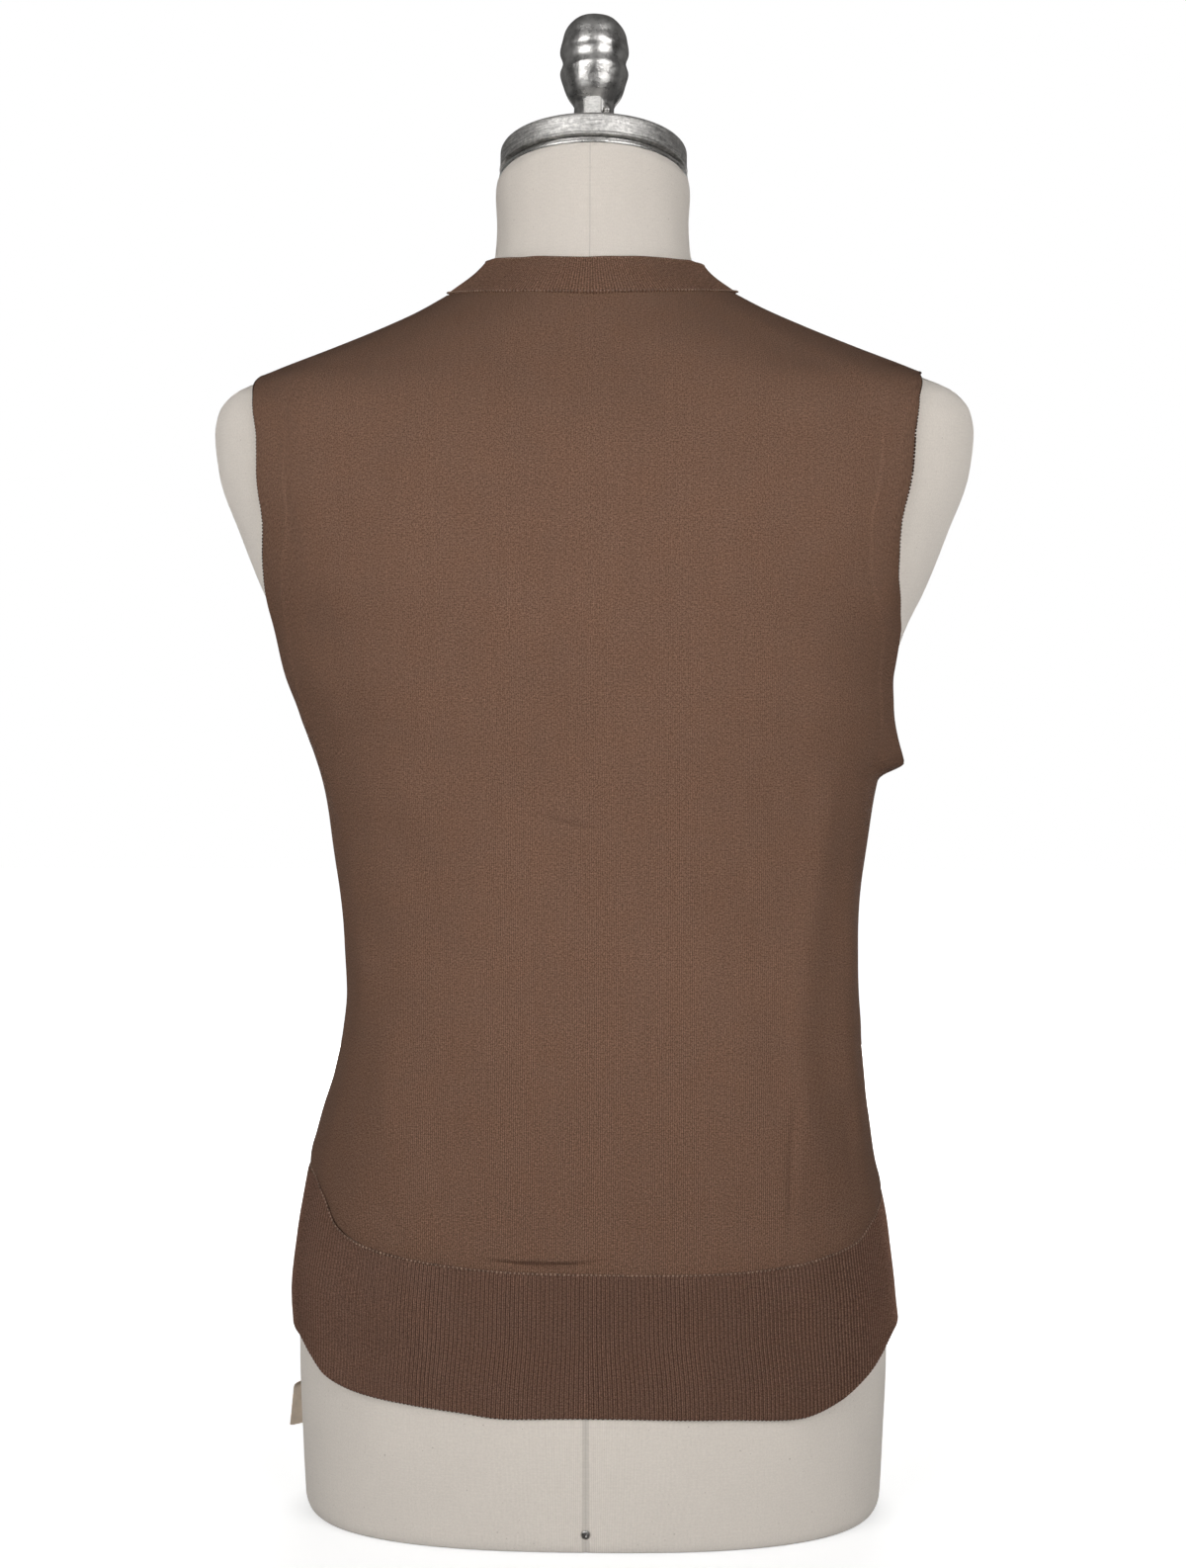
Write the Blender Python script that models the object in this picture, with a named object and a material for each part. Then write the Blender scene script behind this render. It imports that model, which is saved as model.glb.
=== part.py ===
"""A sleeveless V-neck cardigan in fine brown knit, buttoned on a limbless dress form.

Metres, +Z up. The wearer faces -Y, the wearer's left is +X, and the form stands on z = 0 with the
origin in the middle of its base. Every cloth piece is a closed wall that follows the form's own
sections, lifted off it by the garment's ease, so the wall has the worn shape of the real piece.
A place on the body is an angle and a height: 0 is the wearer's left side, 90 the centre back,
180 the right side and -90 (or 270) the centre front.
"""

import math
from collections import namedtuple

import bmesh
import bpy
import numpy as np
from mathutils import Matrix, Vector

# ---------------------------------------------------------------- sizes of the form
Section = namedtuple("Section", "height half_width back front square")
FORM_SECTIONS = [
    Section(0.000, 0.1738, 0.1205, 0.1000, 2.55),
    Section(0.031, 0.1755, 0.1210, 0.1020, 2.48),
    Section(0.093, 0.1780, 0.1220, 0.1040, 2.40),
    Section(0.129, 0.1780, 0.1220, 0.1050, 2.30),
    Section(0.166, 0.1745, 0.1200, 0.1060, 2.30),
    Section(0.190, 0.1705, 0.1160, 0.1060, 2.30),
    Section(0.214, 0.1655, 0.1120, 0.1055, 2.30),
    Section(0.238, 0.1605, 0.1070, 0.1050, 2.30),
    Section(0.262, 0.1540, 0.1030, 0.1045, 2.30),
    Section(0.287, 0.1485, 0.1005, 0.1040, 2.30),
    Section(0.311, 0.1463, 0.0990, 0.1040, 2.30),
    Section(0.341, 0.1473, 0.1000, 0.1055, 2.30),
    Section(0.371, 0.1503, 0.1030, 0.1080, 2.30),
    Section(0.408, 0.1555, 0.1080, 0.1120, 2.30),
    Section(0.443, 0.1625, 0.1130, 0.1160, 2.28),
    Section(0.480, 0.1735, 0.1190, 0.1200, 2.25),
    Section(0.504, 0.1805, 0.1220, 0.1215, 2.22),
    Section(0.528, 0.1880, 0.1245, 0.1220, 2.20),
    Section(0.552, 0.1995, 0.1260, 0.1210, 2.18),
    Section(0.587, 0.2135, 0.1250, 0.1170, 2.15),
    Section(0.622, 0.2262, 0.1200, 0.1100, 2.12),
    Section(0.647, 0.2289, 0.1125, 0.1025, 2.10),
    Section(0.659, 0.2268, 0.1080, 0.0985, 2.08),
    Section(0.670, 0.2185, 0.1025, 0.0940, 2.05),
    Section(0.682, 0.1915, 0.0960, 0.0890, 2.02),
    Section(0.694, 0.1602, 0.0900, 0.0830, 2.00),
    Section(0.706, 0.1305, 0.0830, 0.0765, 2.00),
    Section(0.718, 0.1040, 0.0755, 0.0700, 2.00),
    Section(0.730, 0.0835, 0.0680, 0.0655, 2.00),
    Section(0.742, 0.0675, 0.0605, 0.0630, 2.00),
    Section(0.753, 0.0590, 0.0545, 0.0635, 2.00),
    Section(0.772, 0.0577, 0.0514, 0.0644, 2.00),
    Section(0.790, 0.0586, 0.0500, 0.0655, 2.00),
    Section(0.8035, 0.0566, 0.0485, 0.0660, 2.00),
]
NECK_TOP = 0.8035
NECK_TILT = math.tan(math.radians(13.5))  # the neck is cut sloping down to the front
NECK_TILT_FROM = 0.760
BASE_ROUND = 0.010  # height over which the bottom edge rounds in
BASE_INSET = 0.005

CAP_RADIUS = 0.0566
CAP_HEIGHT = 0.0150
CAP_EDGE = 0.0010  # chamfer of the cap's lower edge
CAP_SHOULDER = 0.0035  # how far the cap's upper edge rounds over
CAP_CROWN = 0.0045
CROWN_FLAT = 0.0165  # radius of the flat that the finial stands on
CROWN_MIDDLE = 0.0300
LIP_HEIGHT = 0.0035
LIP_REACH = 0.0006
LIP_EDGE = 0.0008
FINIAL_TOP = 0.9033
FINIAL_STEM = 0.0122
Turn = namedtuple("Turn", "radius share")
FINIAL_OUTLINE = [  # radius at a share of the finial's height: a stem, two bulges and a blunt tip
    Turn(FINIAL_STEM - 0.0004, 0.000),
    Turn(FINIAL_STEM, 0.120),
    Turn(FINIAL_STEM, 0.285),
    Turn(0.0136, 0.321),
    Turn(0.0161, 0.369),
    Turn(0.0178, 0.417),
    Turn(0.0190, 0.465),
    Turn(0.0202, 0.513),
    Turn(0.0209, 0.552),
    Turn(0.0201, 0.590),
    Turn(0.0193, 0.640),
    Turn(0.0196, 0.672),
    Turn(0.0211, 0.732),
    Turn(0.0207, 0.770),
    Turn(0.0201, 0.803),
    Turn(0.0193, 0.855),
    Turn(0.0181, 0.905),
    Turn(0.0165, 0.949),
    Turn(0.0148, 0.980),
    Turn(0.0112, 0.997),
]
LUG_SIZE = (0.0100, 0.0076, 0.0215)
LUG_HEIGHT = 0.0112
LUG_EDGE = 0.0009
STUD_RADIUS = 0.0028
STUD_HEIGHT = 0.0175
STUD_PLACE = (-0.0084, 0.0134)  # beside the lug, in the finial's frame
SCREW_HEIGHT = 0.012
SCREW_RADIUS = 0.0026
SCREW_DOME = 0.0014

# ---------------------------------------------------------------- sizes of the garment
SEAM_GAP = 0.0003
JERSEY = 0.0013  # wall of the plain knit panels
RIB = 0.0017  # wall of the hem rib
BAND = 0.0018  # wall of the folded front band and neckband
LABEL_WALL = 0.0010

# The hem's bottom edge and the row that joins the rib to the body, all round the wearer.
Edge = namedtuple("Edge", "angle hem link")
HEM_EDGES = [
    Edge(-90.0, 0.0790, 0.1610),
    Edge(-50.0, 0.0860, 0.1700),
    Edge(-25.0, 0.1050, 0.1980),
    Edge(0.0, 0.1120, 0.2060),
    Edge(18.0, 0.1085, 0.2030),
    Edge(27.0, 0.1000, 0.1930),
    Edge(35.0, 0.0910, 0.1780),
    Edge(45.0, 0.0862, 0.1700),
    Edge(60.0, 0.0829, 0.1650),
    Edge(70.0, 0.0810, 0.1628),
    Edge(79.0, 0.0782, 0.1615),
    Edge(90.0, 0.0790, 0.1610),
    Edge(112.0, 0.0775, 0.1602),
    Edge(128.0, 0.0748, 0.1617),
    Edge(140.0, 0.0813, 0.1652),
    Edge(150.0, 0.0912, 0.1693),
    Edge(158.0, 0.1002, 0.1770),
    Edge(169.0, 0.1105, 0.1850),
    Edge(180.0, 0.1130, 0.1880),
    Edge(205.0, 0.1030, 0.1840),
    Edge(230.0, 0.0860, 0.1690),
    Edge(270.0, 0.0790, 0.1610),
]
HEM_BACK = 0.0797
LINK_BASE = 0.1600

SHOULDER_SEAM = -12.0  # angle of the shoulder seam, a little in front of the ridge
NECK_SEAM_BACK = 0.7208
NECK_SEAM_SIDE = 0.7312
NECK_EDGE_BACK = 0.7432
NECK_EDGE_SIDE = {1: 0.7508, -1: 0.7468}
UNDERARM = 0.4550
SHOULDER_POINT = 0.6815

# How far the cloth's inner face stands off the form.
Ease = namedtuple("Ease", "height left right back front")
GARMENT_EASE = [
    Ease(0.045, 0.0020, 0.0050, 0.0022, 0.0040),
    Ease(0.105, 0.0022, 0.0050, 0.0022, 0.0040),
    Ease(0.129, 0.0038, 0.0032, 0.0020, 0.0036),
    Ease(0.166, 0.0026, 0.0024, 0.0018, 0.0032),
    Ease(0.214, 0.0025, 0.0034, 0.0022, 0.0036),
    Ease(0.238, 0.0022, 0.0052, 0.0030, 0.0045),
    Ease(0.262, 0.0018, 0.0094, 0.0038, 0.0056),
    Ease(0.311, 0.0018, 0.0137, 0.0042, 0.0064),
    Ease(0.371, 0.0018, 0.0109, 0.0038, 0.0052),
    Ease(0.432, 0.0018, 0.0093, 0.0030, 0.0032),
    Ease(0.480, 0.0026, 0.0066, 0.0024, 0.0022),
    Ease(0.504, 0.0044, 0.0018, 0.0022, 0.0018),
    Ease(0.540, 0.0030, 0.0015, 0.0020, 0.0018),
    Ease(0.587, 0.0015, 0.0015, 0.0018, 0.0017),
    Ease(0.647, 0.0015, 0.0015, 0.0016, 0.0016),
    Ease(0.760, 0.0015, 0.0015, 0.0016, 0.0016),
]

# The armholes' edges, as an angle from the side seam.
Armhole = namedtuple("Armhole", "height back_left back_right front")
ARMHOLE = [
    Armhole(0.4550, 0.0, 0.0, 0.0),
    Armhole(0.4590, 3.5, 3.5, -7.0),
    Armhole(0.4700, 7.0, 7.0, -14.0),
    Armhole(0.5000, 10.5, 12.0, -23.0),
    Armhole(0.5280, 13.2, 17.5, -28.5),
    Armhole(0.5400, 15.8, 23.0, -30.0),
    Armhole(0.5620, 22.0, 30.5, -33.0),
    Armhole(0.6000, 30.8, 35.2, -36.0),
    Armhole(0.6400, 33.4, 35.8, -36.0),
    Armhole(0.6600, 30.5, 33.5, -33.5),
    Armhole(0.6700, 25.5, 28.5, -29.0),
    Armhole(0.6760, 18.0, 21.5, -23.0),
    Armhole(0.6790, 9.5, 13.0, -18.5),
    Armhole(0.6803, 1.0, 3.0, -15.5),
    Armhole(0.6811, -7.0, -6.0, -13.5),
    Armhole(0.6815, -12.0, -12.0, -12.0),
]

# The front band's two edges, as a distance from the centre front on the band's own side.
BandEdge = namedtuple("BandEdge", "height outer inner")
FRONT_BAND = [
    BandEdge(0.080, 0.0125, -0.0125),
    BandEdge(0.440, 0.0125, -0.0125),
    BandEdge(0.480, 0.0160, -0.0100),
    BandEdge(0.520, 0.0275, 0.0010),
    BandEdge(0.580, 0.0465, 0.0195),
    BandEdge(0.640, 0.0640, 0.0365),
    BandEdge(0.690, 0.0765, 0.0475),
]
BAND_TURN = 0.88  # above this share of its length the band turns over the shoulder to its seam
BAND_TOP_EASE = 1.35  # how its climb slows there, so that its rows stay evenly apart
OVERLAP_LIFT = 0.0021  # the buttonhole band lies over the button band by this much
OVERLAP_TOP = 0.520
OVERLAP_FADE = 0.040
LIFT_REACH = 22.0  # degrees over which the left front comes up to its band
LIFT_SHARE = 0.6

BUTTON_COUNT = 5
BUTTON_TOP = 0.462
BUTTON_BOTTOM = 0.112
BUTTON_RADIUS = 0.0075
BUTTON_WALL = 0.0030
BUTTON_RIM = 0.0014
BUTTON_EDGE = 0.0004

# Soft folds: each is a ridge along a line from (angle, height) to (angle, height).
Fold = namedtuple("Fold", "angle_low low angle_high high width rise")
FOLDS = [
    Fold(136.0, 0.185, 146.0, 0.470, 6.0, 0.0028),
    Fold(158.0, 0.175, 162.0, 0.400, 6.0, 0.0022),
    Fold(118.0, 0.200, 126.0, 0.330, 5.0, 0.0012),
    Fold(50.0, 0.190, 42.0, 0.300, 5.0, 0.0014),
    Fold(24.0, 0.180, 28.0, 0.380, 6.0, 0.0012),
    Fold(212.0, 0.175, 206.0, 0.420, 7.0, 0.0026),
    Fold(236.0, 0.180, 230.0, 0.340, 6.0, 0.0014),
    Fold(-34.0, 0.180, -28.0, 0.360, 6.0, 0.0014),
    Fold(-58.0, 0.185, -52.0, 0.300, 6.0, 0.0010),
]

# The right underarm corner stands away from the body.
HORN_ANGLE = 183.0
HORN_WIDTH = 15.0
HORN_RISE = 0.0140
HORN_LOW, HORN_PEAK, HORN_HIGH = 0.4400, 0.4560, 0.4860

# The label's inner edge keeps to one place on the form, and the label turns about it: it lies
# along the form under the hem and stands out sideways below it.
LABEL_ANGLE = -20.0
LABEL_WIDTH = 0.0150
LABEL_TOP, LABEL_BOTTOM = 0.1180, 0.0450
LABEL_SLANT = 0.0030  # how much lower the outer corner hangs
LABEL_CLEAR = 0.0005
LABEL_LAID, LABEL_STANDING = 69.0, 12.0  # degrees from +X
LABEL_TURN_LOW, LABEL_TURN_HIGH = 0.0670, 0.0900

# ---------------------------------------------------------------- grids
FORM_COLUMNS = 36
BACK_COLUMNS = 20
FRONT_COLUMNS = 10
BAND_COLUMNS = 2
RIB_ROWS = 4
NECKBAND_ROWS = 3
LABEL_COLUMNS = 2
LABEL_ROWS = 9
BODY_STEP = 0.0280
FORM_ROWS = (
    0.0, 0.0010, 0.0040, BASE_ROUND, 0.048, 0.093, 0.125, 0.153, 0.181, 0.209, 0.237, 0.265,
    0.293, 0.321, 0.349, 0.377, 0.405, 0.433, 0.461, 0.489, 0.517, 0.544, 0.566, 0.587, 0.605,
    0.622, 0.636, 0.647, 0.655, 0.662, 0.669, 0.675, 0.680, 0.686, 0.694, 0.702, 0.710, 0.718,
    0.726, 0.733, 0.740, 0.747, 0.756, 0.772, 0.788, NECK_TOP,
)
SHOULDER_ROWS = (
    0.4590, 0.4650, 0.4750, 0.4900, 0.5080, 0.5260, 0.5440, 0.5620, 0.5810, 0.6000, 0.6200,
    0.6380, 0.6520, 0.6620, 0.6690, 0.6735, 0.6767, 0.6787, 0.6798, 0.6806, 0.6811, 0.6815,
    0.6880, 0.6960, 0.7050, 0.7140,
)
FRONT_TOP_ROWS = (0.7225, NECK_SEAM_SIDE - 0.0016)


# ---------------------------------------------------------------- tables and the body surface
def at_height(table, column, height):
    """The named column at a height (or angle, the first column), on a smooth curve through the
    table's rows."""
    heights = [row[0] for row in table]
    values = [getattr(row, column) for row in table]
    height = min(max(height, heights[0]), heights[-1])
    k = min(max(int(np.searchsorted(heights, height)) - 1, 0), len(table) - 2)

    def slope(i):
        if i in (0, len(table) - 1):
            j = 0 if i == 0 else i - 1
            return (values[j + 1] - values[j]) / (heights[j + 1] - heights[j])
        below = (values[i] - values[i - 1]) / (heights[i] - heights[i - 1])
        above = (values[i + 1] - values[i]) / (heights[i + 1] - heights[i])
        return 0.0 if below * above <= 0 else 2 * below * above / (below + above)

    step = heights[k + 1] - heights[k]
    t = (height - heights[k]) / step
    return (
        (2 * t**3 - 3 * t**2 + 1) * values[k]
        + (t**3 - 2 * t**2 + t) * step * slope(k)
        + (3 * t**2 - 2 * t**3) * values[k + 1]
        + (t**3 - t**2) * step * slope(k + 1)
    )


def smoothstep(low, high, value):
    """0 below `low`, 1 above `high` and a smooth rise between them."""
    t = min(max((value - low) / (high - low), 0.0), 1.0)
    return t * t * (3 - 2 * t)


def body(angle, height):
    """The point of the form's surface at an angle in degrees and a height."""
    turn = math.radians(angle)
    power = 2 / at_height(FORM_SECTIONS, "square", height)
    across, along = math.cos(turn), math.sin(turn)
    depth = at_height(FORM_SECTIONS, "back" if along > 0 else "front", height)
    x = math.copysign(abs(across) ** power, across) * at_height(FORM_SECTIONS, "half_width", height)
    y = math.copysign(abs(along) ** power, along) * depth
    z = height + y * NECK_TILT * smoothstep(NECK_TILT_FROM, NECK_TOP, height)
    return Vector((x, y, z))


def outward(angle, height):
    """The form's outward normal."""
    turn, rise = 1.5, 0.002
    around = body(angle + turn, height) - body(angle - turn, height)
    upward = body(angle, height + rise) - body(angle, height - rise)
    return around.cross(upward).normalized()


def side_of(angle):
    """1 on the wearer's left half and -1 on the right half."""
    return 1 if math.cos(math.radians(angle)) >= 0 else -1


def on_side(side, angle):
    """The full angle of one that is measured from the left (1) or right (-1) side."""
    return angle if side > 0 else 180.0 - angle


def fold_rise(angle, height):
    """How far the soft folds lift the cloth here."""
    rise = 0.0
    for fold in FOLDS:
        along = (height - fold.low) / (fold.high - fold.low)
        if not 0.0 < along < 1.0:
            continue
        centre = fold.angle_low + (fold.angle_high - fold.angle_low) * along
        away = ((angle - centre + 180.0) % 360.0 - 180.0) / fold.width
        rise += fold.rise * math.sin(math.pi * along) ** 0.8 * math.exp(-away * away)
    return rise


def horn_rise(angle, height):
    """How far the right underarm corner stands away."""
    away = ((angle - HORN_ANGLE + 180.0) % 360.0 - 180.0) / HORN_WIDTH
    rising = smoothstep(HORN_LOW, HORN_PEAK, height)
    falling = 1 - smoothstep(HORN_PEAK, HORN_HIGH, height)
    return HORN_RISE * min(rising, falling) * math.exp(-away * away)


def ease(angle, height):
    """The gap between the form and the cloth's inner face."""
    turn = math.radians(angle)
    across, along = math.cos(turn), math.sin(turn)
    wide = at_height(GARMENT_EASE, "left" if across > 0 else "right", height) * across**2
    deep = at_height(GARMENT_EASE, "back" if along > 0 else "front", height) * along**2
    return wide + deep + fold_rise(angle, height) + horn_rise(angle, height)


def on_cloth(angle, height, lift):
    """A point that stands `lift` above the cloth's inner face."""
    return body(angle, height) + outward(angle, height) * (ease(angle, height) + lift)


# ---------------------------------------------------------------- lines of the garment
def wrapped(angle):
    """The same direction between -90 and 270 degrees."""
    return (angle + 90.0) % 360.0 - 90.0


def hem_height(angle):
    """The height of the garment's bottom edge."""
    return at_height(HEM_EDGES, "hem", wrapped(angle))


def link_height(angle):
    """The height of the row that joins the rib to the panels."""
    return at_height(HEM_EDGES, "link", wrapped(angle))


def across_back(angle):
    """0 at the centre back and 1 at a shoulder seam."""
    return abs(90.0 - angle) / (90.0 - SHOULDER_SEAM)


def neck_seam_height(angle):
    """The height of the row that joins the neckband to the back."""
    return NECK_SEAM_BACK + (NECK_SEAM_SIDE - NECK_SEAM_BACK) * across_back(angle) ** 1.5


def neck_edge_height(angle):
    """The height of the neckband's upper, folded edge."""
    side = NECK_EDGE_SIDE[side_of(angle)]
    return NECK_EDGE_BACK + (side - NECK_EDGE_BACK) * across_back(angle) ** 1.5


def angle_at(distance, height):
    """The angle on the front half at a distance from the centre front, towards +X."""
    power = at_height(FORM_SECTIONS, "square", height) / 2
    share = distance / at_height(FORM_SECTIONS, "half_width", height)
    turn = math.degrees(math.acos(math.copysign(min(abs(share), 1.0) ** power, share)))
    return -turn


def band_top(name, end, share):
    """The angle and height of a band's edge at a share of its way from the table's last row to
    the shoulder seam: it runs on as it was, then upright beside the neck."""
    below, last = FRONT_BAND[-2:]
    start, rise = getattr(last, name), end - last.height
    rate = (start - getattr(below, name)) / (last.height - below.height)
    t = 1.0 - (1.0 - share) ** BAND_TOP_EASE
    distance = (
        (2 * t**3 - 3 * t**2 + 1) * start
        + (t**3 - 2 * t**2 + t) * rise * rate
        + (3 * t**2 - 2 * t**3) * body(SHOULDER_SEAM, end).x
    )
    height = last.height + rise * t
    return angle_at(distance, height), height


def band_row(share, side):
    """The outer and inner edge, as (angle, height), of the front band at a share of its length."""
    last = FRONT_BAND[-1].height
    bottom = hem_height(-90.0)
    if share <= BAND_TURN:
        height = bottom + (last - bottom) * share / BAND_TURN
        return [
            (on_side(side, angle_at(at_height(FRONT_BAND, name, height), height)), height)
            for name in ("outer", "inner")
        ]
    row = []
    for name, end in (("outer", NECK_SEAM_SIDE), ("inner", NECK_EDGE_SIDE[side])):
        angle, height = band_top(name, end, (share - BAND_TURN) / (1 - BAND_TURN))
        row.append((on_side(side, angle), height))
    return row


def band_share(height, side):
    """The share of the front band's length at which its seam reaches a height."""
    low, high = 0.0, 1.0
    for _ in range(40):
        middle = (low + high) / 2
        if band_row(middle, side)[0][1] < height:
            low = middle
        else:
            high = middle
    return (low + high) / 2


def band_edge_angle(height, side):
    """The angle of the front band's seam at a height."""
    return band_row(band_share(height, side), side)[0][0]


def seam_step(angle, height, distance):
    """The change of angle that moves a point by a distance along the body."""
    turn = 0.5
    return distance / ((body(angle + turn, height) - body(angle - turn, height)).length / (2 * turn))


# ---------------------------------------------------------------- meshes and materials
def material(name, colour, roughness, metallic=0.0):
    """A Principled material with linear colour."""
    made = bpy.data.materials.new(name)
    made.use_nodes = True
    shader = made.node_tree.nodes["Principled BSDF"]
    shader.inputs["Base Color"].default_value = (*colour, 1.0)
    shader.inputs["Roughness"].default_value = roughness
    shader.inputs["Metallic"].default_value = metallic
    made.diffuse_color = (*colour, 1.0)
    return made


def finish(name, mesh, finish_material, smooth_angle=40.0):
    """Makes the bmesh one named object with outward faces."""
    bmesh.ops.recalc_face_normals(mesh, faces=mesh.faces)
    data = bpy.data.meshes.new(name)
    mesh.to_mesh(data)
    mesh.free()
    data.shade_smooth()
    data.set_sharp_from_angle(angle=math.radians(smooth_angle))
    data.materials.append(finish_material)
    made = bpy.data.objects.new(name, data)
    bpy.context.collection.objects.link(made)
    return made


def shell(name, inner_points, outer_points, finish_material):
    """A closed wall between two grids of points, given as rows."""
    mesh = bmesh.new()
    layers = []
    for points in (inner_points, outer_points):
        layers.append([[mesh.verts.new(place) for place in row] for row in points])
    inner, outer = layers
    rows, columns = len(inner), len(inner[0])
    for layer in layers:
        for r in range(rows - 1):
            for c in range(columns - 1):
                mesh.faces.new(
                    (layer[r][c], layer[r][c + 1], layer[r + 1][c + 1], layer[r + 1][c])
                )
    rim = [(0, c) for c in range(columns)]
    rim += [(r, columns - 1) for r in range(1, rows)]
    rim += [(rows - 1, c) for c in range(columns - 2, -1, -1)]
    rim += [(r, 0) for r in range(rows - 2, 0, -1)]
    for (r, c), (s, d) in zip(rim, rim[1:] + rim[:1]):
        mesh.faces.new((inner[r][c], inner[s][d], outer[s][d], outer[r][c]))
    return finish(name, mesh, finish_material)


def wall(name, grid, lift, thickness, finish_material):
    """A closed wall through a grid of (angle, height) places. `lift` is a number, or a function
    of angle and height, that raises the wall's inner face off the garment's own inner face."""
    layers = []
    for extra in (0.0, thickness):
        layer = []
        for row in grid:
            places = []
            for angle, height in row:
                raised = lift(angle, height) if callable(lift) else lift
                places.append(on_cloth(angle, height, raised + extra))
            layer.append(places)
        layers.append(layer)
    return shell(name, *layers, finish_material)


def turned(name, profile, segments, finish_material, smooth_angle=40.0):
    """A solid of revolution about Z through (radius, height) points that start and end on the
    axis."""
    mesh = bmesh.new()
    rings = []
    for radius, height in profile:
        if radius == 0.0:
            rings.append([mesh.verts.new((0.0, 0.0, height))])
            continue
        turns = [2 * math.pi * k / segments for k in range(segments)]
        rings.append(
            [mesh.verts.new((radius * math.cos(a), radius * math.sin(a), height)) for a in turns]
        )
    for low, high in zip(rings, rings[1:]):
        for k in range(segments):
            n = (k + 1) % segments
            if len(low) == 1:
                mesh.faces.new((low[0], high[k], high[n]))
            elif len(high) == 1:
                mesh.faces.new((low[k], low[n], high[0]))
            else:
                mesh.faces.new((low[k], low[n], high[n], high[k]))
    return finish(name, mesh, finish_material, smooth_angle)


# ---------------------------------------------------------------- the dress form
def base_inset(height):
    """How far the bottom edge's rounding pulls the section in at a height."""
    share = 1.0 - min(height / BASE_ROUND, 1.0)
    return BASE_INSET * (1.0 - math.sqrt(max(1.0 - share * share, 0.0)))


def make_torso(linen):
    """The padded torso, cut flat at the base and at the sloping top of the neck."""
    mesh = bmesh.new()
    rings = []
    for height in FORM_ROWS:
        inset = base_inset(height)
        places = []
        for k in range(FORM_COLUMNS):
            angle = 360.0 * k / FORM_COLUMNS
            place = body(angle, height)
            flat = Vector((place.x, place.y, 0.0))
            places.append(mesh.verts.new(place - flat.normalized() * inset))
        rings.append(places)
    for low, high in zip(rings, rings[1:]):
        for k in range(FORM_COLUMNS):
            n = (k + 1) % FORM_COLUMNS
            mesh.faces.new((low[k], low[n], high[n], high[k]))
    mesh.faces.new(rings[0])
    mesh.faces.new(rings[-1])
    return finish("form_torso", mesh, linen)


def neck_frame():
    """The place and tilt of the neck's cut top."""
    front, back = body(-90.0, NECK_TOP), body(90.0, NECK_TOP)
    centre = (front + back) / 2
    return Matrix.Translation(centre) @ Matrix.Rotation(math.atan(NECK_TILT), 4, "X")


def make_neck_fittings(aluminium, polished):
    """The cap's lip, the cap and the finial on the neck's cut top. Returns the finial's frame."""
    place = neck_frame()
    reach = CAP_RADIUS + LIP_REACH
    lip_profile = [
        (0.0, 0.0),
        (reach - LIP_EDGE, 0.0),
        (reach, LIP_EDGE),
        (reach, LIP_HEIGHT - LIP_EDGE),
        (reach - LIP_EDGE, LIP_HEIGHT),
        (0.0, LIP_HEIGHT),
    ]
    lip = turned("form_cap_lip", lip_profile, FORM_COLUMNS, aluminium)
    lip.matrix_world = place @ Matrix.Translation((0.0, 0.0, SEAM_GAP))

    # The cap's wall ends in a rounded shoulder of two facets, then its top rises to the crown.
    cap_base = SEAM_GAP + LIP_HEIGHT + SEAM_GAP
    over = CAP_SHOULDER * (1.0 - math.cos(math.radians(45.0)))
    cap_profile = [
        (0.0, 0.0),
        (CAP_RADIUS - CAP_EDGE, 0.0),
        (CAP_RADIUS, CAP_EDGE),
        (CAP_RADIUS, CAP_HEIGHT - CAP_SHOULDER),
        (CAP_RADIUS - over, CAP_HEIGHT - over),
        (CAP_RADIUS - CAP_SHOULDER, CAP_HEIGHT),
        (CROWN_MIDDLE, CAP_HEIGHT + CAP_CROWN * 0.6),
        (CROWN_FLAT, CAP_HEIGHT + CAP_CROWN),
        (0.0, CAP_HEIGHT + CAP_CROWN),
    ]
    cap = turned("form_neck_cap", cap_profile, FORM_COLUMNS, aluminium)
    cap.matrix_world = place @ Matrix.Translation((0.0, 0.0, cap_base))

    crown = cap_base + CAP_HEIGHT + CAP_CROWN + SEAM_GAP
    stand = place @ Matrix.Translation((0.0, 0.0, crown))
    tall = (FINIAL_TOP - stand.translation.z) / math.cos(math.atan(NECK_TILT))
    profile = [(turn.radius, turn.share * tall) for turn in FINIAL_OUTLINE]
    profile = [(0.0, 0.0)] + profile + [(0.0, tall)]
    finial = turned("form_finial", profile, 24, polished, 60.0)
    finial.matrix_world = stand
    return stand


def make_clamp(stand, polished):
    """The clamp's square lug behind the finial's stem and the stud beside it."""
    mesh = bmesh.new()
    bmesh.ops.create_cube(mesh, size=1.0)
    bmesh.ops.scale(mesh, vec=LUG_SIZE, verts=mesh.verts)
    bmesh.ops.bevel(mesh, geom=mesh.edges[:], offset=LUG_EDGE, segments=2, affect="EDGES")
    lug = finish("form_finial_lug", mesh, polished)
    reach = FINIAL_STEM + LUG_SIZE[1] / 2 + SEAM_GAP
    lug.matrix_world = stand @ Matrix.Translation((0.0, reach, LUG_HEIGHT))

    profile = [(0.0, 0.0), (STUD_RADIUS, 0.0), (STUD_RADIUS, STUD_HEIGHT), (0.0, STUD_HEIGHT)]
    stud = turned("form_clamp_stud", profile, 12, polished)
    stud.matrix_world = stand @ Matrix.Translation((*STUD_PLACE, 0.0))


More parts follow.
